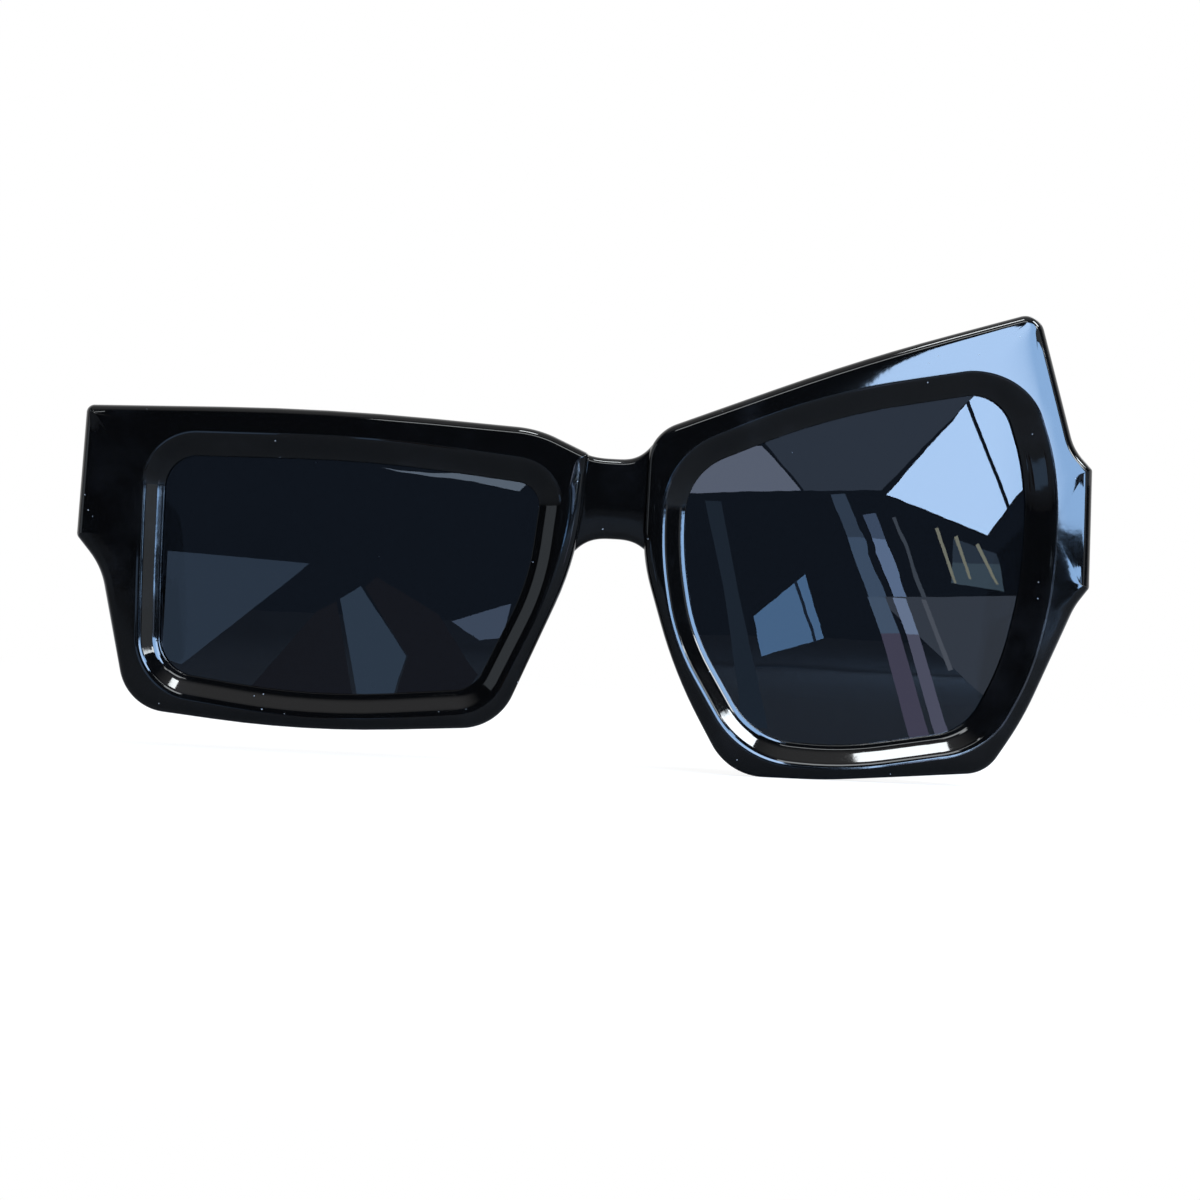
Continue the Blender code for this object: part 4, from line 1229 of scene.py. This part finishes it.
def temple_size(s, along):
    """Height and thickness of the temple at a length along it, and its full thickness."""
    t = s.temple
    run = temple_run(s)[0]
    if along < t.end_reach:
        height = t.end_height + (t.front_height - t.end_height) * along / t.end_reach
    elif along < run:
        part = (along - t.end_reach) / (run - t.end_reach)
        height = t.front_height + (t.bend_height - t.front_height) * part
    else:
        part = (along - run) / (t.length - run)
        height = t.bend_height + (t.tip_height - t.bend_height) * part
    thickness = t.thickness + (t.tip_thickness - t.thickness) * along / t.length
    past = max(along - t.length + t.tip_round, 0.0) / t.tip_round
    shrink = math.sqrt(1 - past ** 2)
    return height * shrink, thickness * shrink, thickness


def line_of(name, places, **attributes):
    """Line of points that carry values, for a geometry tree to follow."""
    data = bpy.data.meshes.new(name)
    data.from_pydata([tuple(p) for p in places], [(k, k + 1) for k in range(len(places) - 1)], [])
    for label, values in attributes.items():
        vector = hasattr(values[0], "__len__")
        made = data.attributes.new(label, "FLOAT_VECTOR" if vector else "FLOAT", "POINT")
        flat = [part for value in values for part in value] if vector else values
        made.data.foreach_set("vector" if vector else "value", flat)
    return linked(name, data)


def build_temple(s, side_name, side):
    """Broad arm with a flat outer side, thinning to a rounded tip that is bent down."""
    t = s.temple
    start = temple_run(s)[2]
    places, sections, leans = [], [], []
    for along in temple_lengths(s):
        y, z, angle = temple_path(s, along)
        height, thickness, full = temple_size(s, along)
        places.append((side * (temple_outer(s) - full / 2), start + y, s.hinge.height + z))
        sections.append((thickness, height, min(t.edge_round, thickness * ROUND_SHARE,
                                                height * ROUND_SHARE)))
        leans.append(angle if along else 0.0)
    body = line_of(side_name + "_polished_arm", places, section=sections, lean=leans)
    grown(body, "arm_along_line", arm_tree, round_steps=ARM_ROUND_STEPS, finish=black_plastic(s))

    def fitted(mesh):
        """Lays the hinge end along the back of the bent front."""
        for vertex in mesh.verts:
            if vertex.co.y < start + t.end_reach * END_FACE_SHARE:
                vertex.co.y = bend(s, vertex.co.x) + s.front.thickness + s.front.gap
        faced_out(mesh)

    reworked(body, fitted)
    combined(body, temple_plate(s, side_name + "_leaf_seat", side, s.front.gap), "DIFFERENCE")
    bore = core_wire(s, side_name + "_core_bore", side, t.wire_radius + t.wire_gap, -OVERRUN,
                     t.length - t.wire_margin + t.wire_gap)
    combined(body, bore, "DIFFERENCE")
    hand_over(body, s, "frame_plastic", side_name + "_temple_arm", side_name + "_temple")


def core_wire(s, name, side, radius, first, last):
    """Round bar along the middle of a temple between two lengths along it."""
    start = temple_run(s)[2]
    across = side * (temple_outer(s) - s.temple.wire_from_outside)
    places = []
    for along in [first] + [mark for mark in temple_lengths(s) if first < mark < last] + [last]:
        y, z, _ = temple_path(s, max(along, 0.0))
        places.append((across, start + y + min(along, 0.0), s.hinge.height + z))
    bar = line_of(name, places)
    grown(bar, "bar_along_line", bar_tree, radius=radius, sides=WIRE_SIDES, finish=hinge_steel(s))
    return reworked(bar, faced_out)


def build_wire(s, side_name, side):
    """Steel core that starts just inside the temple's end face."""
    outer = temple_outer(s) - s.temple.wire_from_outside
    first = bend(s, outer) - bend(s, temple_inner(s)) + s.front.gap
    wire = core_wire(s, side_name + "_steel_core", side, s.temple.wire_radius, first,
                     s.temple.length - s.temple.wire_margin)
    hand_over(bevelled(wire, WIRE_BEVEL), s, "steel", side_name + "_temple_arm",
              side_name + "_temple_core_wire")


# Hinges

def front_plate(s, name, side, gap):
    """Plate along the back of an end piece, or with a gap the seat that it lies in."""
    h = s.hinge
    middle = hinge_spot(s)[0] - h.radius + h.front_leaf / 2
    half = h.front_leaf / 2 + gap
    plate = box(name, (-half, -h.leaf_thickness - gap, -h.leaf_height / 2 - gap),
                (half, OVERRUN if gap else 0.0, h.leaf_height / 2 + gap))
    turn = Matrix.Rotation(side * math.atan(middle / s.front.bend_radius), 4, "Z")
    place = Matrix.Translation((side * middle, bend(s, middle) + s.front.thickness, h.height))
    plate.data.transform(place @ turn)
    return plate


def temple_plate(s, name, side, gap):
    """Plate in the inner side of a temple, or with a gap the seat that it lies in."""
    h = s.hinge
    proud = OVERRUN if gap else 0.0
    first = hinge_spot(s)[1] - h.radius
    low, high = sorted((side * (temple_inner(s) - proud),
                        side * (temple_inner(s) + h.leaf_thickness + gap)))
    return box(name, (low, first - proud, h.height - h.leaf_height / 2 - gap),
               (high, first + h.temple_leaf + gap, h.height + h.leaf_height / 2 + gap))


def hinge_bore(s, side, low, high):
    """Cutter for the screw's bore between two heights of the hinge's axis."""
    x, y = hinge_spot(s)
    return upright("bore", circle((side * x, y), s.hinge.shaft_radius + s.hinge.play, BORE_SIDES),
                   (low - OVERRUN, high + OVERRUN))


def barrel(s, name, side, toward_front, low):
    """Bored barrel on the hinge's axis with a web as wide as itself, reaching its plate."""
    h = s.hinge
    x, y = hinge_spot(s)
    reach = h.radius + h.leaf_thickness / 2 + (h.standoff if toward_front else h.from_temple)
    turns = [-math.pi / 2 - math.pi * k / BARREL_STEPS for k in range(BARREL_STEPS + 1)]
    profile = [(reach, -h.radius), *((h.radius * math.cos(a), h.radius * math.sin(a))
                                     for a in turns), (reach, h.radius)]
    if toward_front:
        flat = [(side * (x + v), y - u) for u, v in profile]
    else:
        flat = [(side * (x + u), y + v) for u, v in profile]
    high = low + h.barrel_height
    made = combined(upright(name, flat, (low, high)), hinge_bore(s, side, low, high),
                    "DIFFERENCE")
    return bevelled(made, BARREL_BEVEL)


def build_leaf(s, side_name, side, toward_front):
    """Leaf with its barrels: the outer three on the front, the two between on the temple."""
    h = s.hinge
    pitch = h.barrel_height + h.play
    bottom = h.height - (h.count * pitch - h.play) / 2
    kind = "front" if toward_front else "temple"
    first = 0 if toward_front else 1
    leaf = barrel(s, f"{side_name}_steel_{kind}_leaf", side, toward_front, bottom + first * pitch)
    grown(leaf, "barrels_in_stack", stack_tree, count=(h.count - first + 1) // 2,
          pitch=2 * pitch, finish=hinge_steel(s))
    plate = (front_plate if toward_front else temple_plate)(s, "plate", side, 0.0)
    combined(plate, hinge_bore(s, side, bottom, bottom + h.count * pitch), "DIFFERENCE")
    merged(leaf, bevelled(plate, LEAF_BEVEL))
    hand_over(leaf, s, "steel", "front" if toward_front else side_name + "_temple_arm",
              f"{side_name}_hinge_{kind}_leaf")


def build_screw(s, side_name, side):
    """Slotted screw whose shaft passes down through every barrel."""
    h = s.hinge
    x, y = hinge_spot(s)
    stack = h.count * (h.barrel_height + h.play) - h.play
    bottom = h.height - stack / 2
    base = h.height + stack / 2 + h.play
    top = base + h.head_height
    point = h.play * 1.5
    rounding = h.head_height / 3
    steps = [(h.shaft_radius * SCREW_POINT_SHARE, bottom), (h.shaft_radius, bottom + point),
             (h.shaft_radius, base), (h.head_radius - h.play, base), (h.head_radius, base + h.play)]
    for k in range(HEAD_STEPS + 1):
        angle = math.pi / 2 * k / HEAD_STEPS
        steps.append((h.head_radius - rounding * (1 - math.cos(angle)),
                      top - rounding * (1 - math.sin(angle))))
    rings = [[Vector((px, py, z)) for px, py in circle((side * x, y), radius, SCREW_SIDES)]
             for radius, z in steps]
    screw = skinned(side_name + "_slotted_screw", rings)
    reach = h.head_radius + OVERRUN
    slot = box("slot", (side * x - reach, y - h.slot_width / 2, top - h.slot_depth),
               (side * x + reach, y + h.slot_width / 2, top + OVERRUN))
    combined(screw, slot, "DIFFERENCE")
    hand_over(screw, s, "steel", "front", side_name + "_hinge_screw")


# Stage

def area_lamp(name, azimuth, elevation, distance, size, radiance, colour, aim):
    """Rectangular soft lamp facing the aim from a direction seen by the camera's side."""
    a, e = math.radians(azimuth), math.radians(elevation)
    away = Vector((math.sin(a) * math.cos(e), -math.cos(a) * math.cos(e), math.sin(e)))
    data = bpy.data.lights.new(name, "AREA")
    data.shape = "RECTANGLE"
    data.size, data.size_y = size
    data.color = colour
    data.energy = radiance * math.pi * size[0] * size[1]
    made = linked(name, data)
    made.location = aim + away * distance
    made.rotation_mode = "QUATERNION"
    made.rotation_quaternion = away.to_track_quat("Z", "Y")
    made.visible_camera = False


def face_depth():
    """Place back of the front's foremost point."""
    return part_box("front_frame")[0].y


def mirrored(s, x, z, distance):
    """Point that a place on the bent face mirrors to the camera, at a distance from the place."""
    st = s.stage
    place = Vector((x, face_depth() + bend(s, x), z))
    eye = Vector((st.aim_x, face_depth() - st.camera_distance, st.aim_z))
    normal = Vector((x / s.front.bend_radius, -1.0, 0.0)).normalized()
    way = (place - eye).normalized()
    return place + (way - 2 * way.dot(normal) * normal) * distance


def bare_surface(thing, name):
    """Tree of a new material without nodes on a body of the stage."""
    made = bpy.data.materials.new(name)
    made.use_nodes = True
    made.node_tree.nodes.clear()
    thing.data.materials.append(made)
    return made.node_tree


def lit_card(s, name, reach, radiance, places, side_radiance=None):
    """Card of soft light, shaped to what the front shows of it, that may change sideways."""
    distance = s.stage.card_distance * reach
    mesh = bmesh.new()
    corners = [mesh.verts.new(mirrored(s, x * MILLIMETRE, z * MILLIMETRE, distance))
               for x, z in places]
    middle = mesh.verts.new(sum((corner.co for corner in corners), Vector()) / len(corners))
    for i, corner in enumerate(corners):
        mesh.faces.new((middle, corners[i - 1], corner))
    card = finished(name, mesh)
    tree = bare_surface(card, name)
    across = part_of(tree, node(tree, "ShaderNodeTexCoord").outputs["Object"], 0)
    part = smooth(tree, across, s.stage.fade_start, s.stage.fade_end)
    top = max(radiance)
    near, far = ([value / top for value in colour] for colour in (radiance,
                                                                  side_radiance or radiance))
    glow = value_of(tree, "ShaderNodeEmission", {"Color": mixed(tree, part, near, far),
                                                 "Strength": top})
    node(tree, "ShaderNodeOutputMaterial", {0: glow})
    card.visible_camera = False
    card.visible_transmission = False
    card.visible_diffuse = card.visible_shadow = distance > s.stage.camera_distance


def studio_world():
    """White where the camera looks and behind the object, dark before it, grey overhead."""
    world = bpy.data.worlds.new("pale_studio")
    world.use_nodes = True
    tree = world.node_tree
    tree.nodes.clear()
    path = node(tree, "ShaderNodeLightPath").outputs
    seen = sums(tree, "MAXIMUM", path["Is Camera Ray"], path["Is Transmission Ray"])
    way = node(tree, "ShaderNodeTexCoord").outputs["Generated"]
    behind = smooth(tree, part_of(tree, way, 1), *BEHIND_FADE, FRONT_LEVEL, 1.0)
    above = smooth(tree, part_of(tree, way, 2), *OVERHEAD_FADE, 0.0, OVERHEAD_LEVEL)
    level = sums(tree, "MAXIMUM", sums(tree, "MAXIMUM", behind, above), seen)
    sky = value_of(tree, "ShaderNodeBackground", {"Color": WHITE, "Strength": level})
    node(tree, "ShaderNodeOutputWorld", {0: sky})
    bpy.context.scene.world = world


def pale_floor(s):
    """White floor that keeps a soft shadow near the object and runs out into white."""
    half = s.stage.floor / 2
    floor = box("floor", (-half, -half, FLOOR_HEIGHTS[0]), (half, half, FLOOR_HEIGHTS[1]))
    tree = bare_surface(floor, "pale_floor")
    path = node(tree, "ShaderNodeLightPath").outputs
    place = node(tree, "ShaderNodeTexCoord").outputs["Object"]
    behind = smooth(tree, part_of(tree, place, 1), *FLOOR_BEHIND_FADE)
    mirror = sums(tree, "MULTIPLY", path["Is Glossy Ray"], behind)
    # Glossy rays that meet the floor before the object see it painted dark grey, a painted shade
    painted_shade = sums(tree, "SUBTRACT", path["Is Glossy Ray"], mirror)
    matt = value_of(tree, "ShaderNodeBsdfDiffuse",
                    {"Color": mixed(tree, painted_shade, FLOOR_COLOUR, FLOOR_MIRRORED_SHADE)})
    seen = sums(tree, "MAXIMUM", path["Is Camera Ray"], path["Is Transmission Ray"])
    seen = sums(tree, "MAXIMUM", seen, mirror)
    away = node(tree, "ShaderNodeVectorMath", {0: place}, operation="LENGTH").outputs["Value"]
    part = smooth(tree, away, *FLOOR_WHITE_FADE, s.stage.glow, 1.0)
    lit = sums(tree, "MULTIPLY", sums(tree, "SUBTRACT", 1.0, part), s.stage.floor_level)
    strength = sums(tree, "DIVIDE", sums(tree, "SUBTRACT", 1.0, lit), part)
    glow = value_of(tree, "ShaderNodeEmission", {"Color": WHITE, "Strength": strength})
    mix = value_of(tree, "ShaderNodeMixShader", {0: sums(tree, "MULTIPLY", seen, part),
                                                 1: matt, 2: glow})
    node(tree, "ShaderNodeOutputMaterial", {0: mix})


def set_camera(s, aim):
    """Camera level with its aim, turned by the roll, without depth of field."""
    st = s.stage
    camera = bpy.data.cameras.new("camera")
    camera.sensor_width = SENSOR_WIDTH
    camera.lens = SENSOR_WIDTH * st.camera_distance / st.view_width
    eye = linked("camera", camera)
    eye.location = aim - Vector((0.0, st.camera_distance, 0.0))
    right = Vector((math.cos(st.roll), 0.0, math.sin(st.roll)))
    up = Vector((-math.sin(st.roll), 0.0, math.cos(st.roll)))
    eye.rotation_mode = "QUATERNION"
    eye.rotation_quaternion = Matrix((right, up, right.cross(up))).transposed().to_quaternion()
    bpy.context.scene.camera = eye


def build_stage(s):
    aim = (s.stage.aim_x, s.stage.aim_z)
    set_camera(s, Vector((aim[0], face_depth(), aim[1])))
    pale_floor(s)
    studio_world()
    for k, pane in enumerate(WINDOW_PANES):
        lit_card(s, f"window_pane_{k}", 1.0, WINDOW_LIGHT, pane, WINDOW_SIDE_LIGHT)
    for card in CARDS:
        lit_card(s, *card)
    for *lamp, own_aim in LAMPS:
        x, z = own_aim or aim
        area_lamp(*lamp, Vector((x, face_depth(), z)))
    bpy.context.scene.view_settings.view_transform = "Standard"


# Operators

class SUNGLASSES_OT_front(bpy.types.Operator):
    """Builds both rims and the bridge in one polished piece"""
    bl_idname = "sunglasses.front"
    bl_label = "Front"

    def execute(self, context):
        build_front(context.scene.sunglasses)
        return {"FINISHED"}


class SUNGLASSES_OT_lenses(bpy.types.Operator):
    """Builds the two tinted lenses"""
    bl_idname = "sunglasses.lenses"
    bl_label = "Lenses"

    def execute(self, context):
        s = context.scene.sunglasses
        for side_name, side in SIDES:
            build_lens(s, side_name, side)
        return {"FINISHED"}


class SUNGLASSES_OT_pads(bpy.types.Operator):
    """Builds the two nose pads"""
    bl_idname = "sunglasses.pads"
    bl_label = "Nose pads"

    def execute(self, context):
        s = context.scene.sunglasses
        for side_name, side in SIDES:
            build_pad(s, side_name, side)
        return {"FINISHED"}


class SUNGLASSES_OT_temples(bpy.types.Operator):
    """Builds the two temples and their steel cores"""
    bl_idname = "sunglasses.temples"
    bl_label = "Temples"

    def execute(self, context):
        s = context.scene.sunglasses
        for side_name, side in SIDES:
            build_temple(s, side_name, side)
            build_wire(s, side_name, side)
        return {"FINISHED"}


class SUNGLASSES_OT_hinges(bpy.types.Operator):
    """Builds the leaves, barrels and screws of both hinges"""
    bl_idname = "sunglasses.hinges"
    bl_label = "Hinges"

    def execute(self, context):
        s = context.scene.sunglasses
        for side_name, side in SIDES:
            build_leaf(s, side_name, side, True)
            build_leaf(s, side_name, side, False)
            build_screw(s, side_name, side)
        return {"FINISHED"}


class SUNGLASSES_OT_stage(bpy.types.Operator):
    """Sets the camera, lamps, floor and background"""
    bl_idname = "sunglasses.stage"
    bl_label = "Stage"

    def execute(self, context):
        build_stage(context.scene.sunglasses)
        return {"FINISHED"}


class SUNGLASSES_PT_panel(bpy.types.Panel):
    """Lists the pieces, their finishes and the stage"""
    bl_idname = "SUNGLASSES_PT_panel"
    bl_label = "Sunglasses"
    bl_space_type = "VIEW_3D"
    bl_region_type = "UI"
    bl_category = "Sunglasses"

    def draw(self, context):
        for operator, *groups in STEPS:
            self.layout.operator(operator.bl_idname)
            column = self.layout.column(align=True)
            for group in groups:
                part = getattr(context.scene.sunglasses, group)
                for key in part.__annotations__:
                    column.prop(part, key)


STEPS = (
    (SUNGLASSES_OT_front, "front", "finish"),
    (SUNGLASSES_OT_lenses, "lens"),
    (SUNGLASSES_OT_pads, "pad"),
    (SUNGLASSES_OT_temples, "temple"),
    (SUNGLASSES_OT_hinges, "hinge"),
    (SUNGLASSES_OT_stage, "stage"),
)
CLASSES = (
    FrontSizes, LensSizes, PadSizes, TempleSizes, HingeSizes, Finishes, StageSizes,
    SunglassesSettings, *(step[0] for step in STEPS), SUNGLASSES_PT_panel,
)


def register():
    for kind in CLASSES:
        bpy.utils.register_class(kind)
    bpy.types.Scene.sunglasses = PointerProperty(type=SunglassesSettings)


def unregister():
    del bpy.types.Scene.sunglasses
    for kind in reversed(CLASSES):
        bpy.utils.unregister_class(kind)


def main():
    register()
    bpy.ops.sunglasses.front()
    bpy.ops.sunglasses.lenses()
    bpy.ops.sunglasses.pads()
    bpy.ops.sunglasses.temples()
    bpy.ops.sunglasses.hinges()
    bpy.ops.sunglasses.stage()


if __name__ == "__main__":
    main()
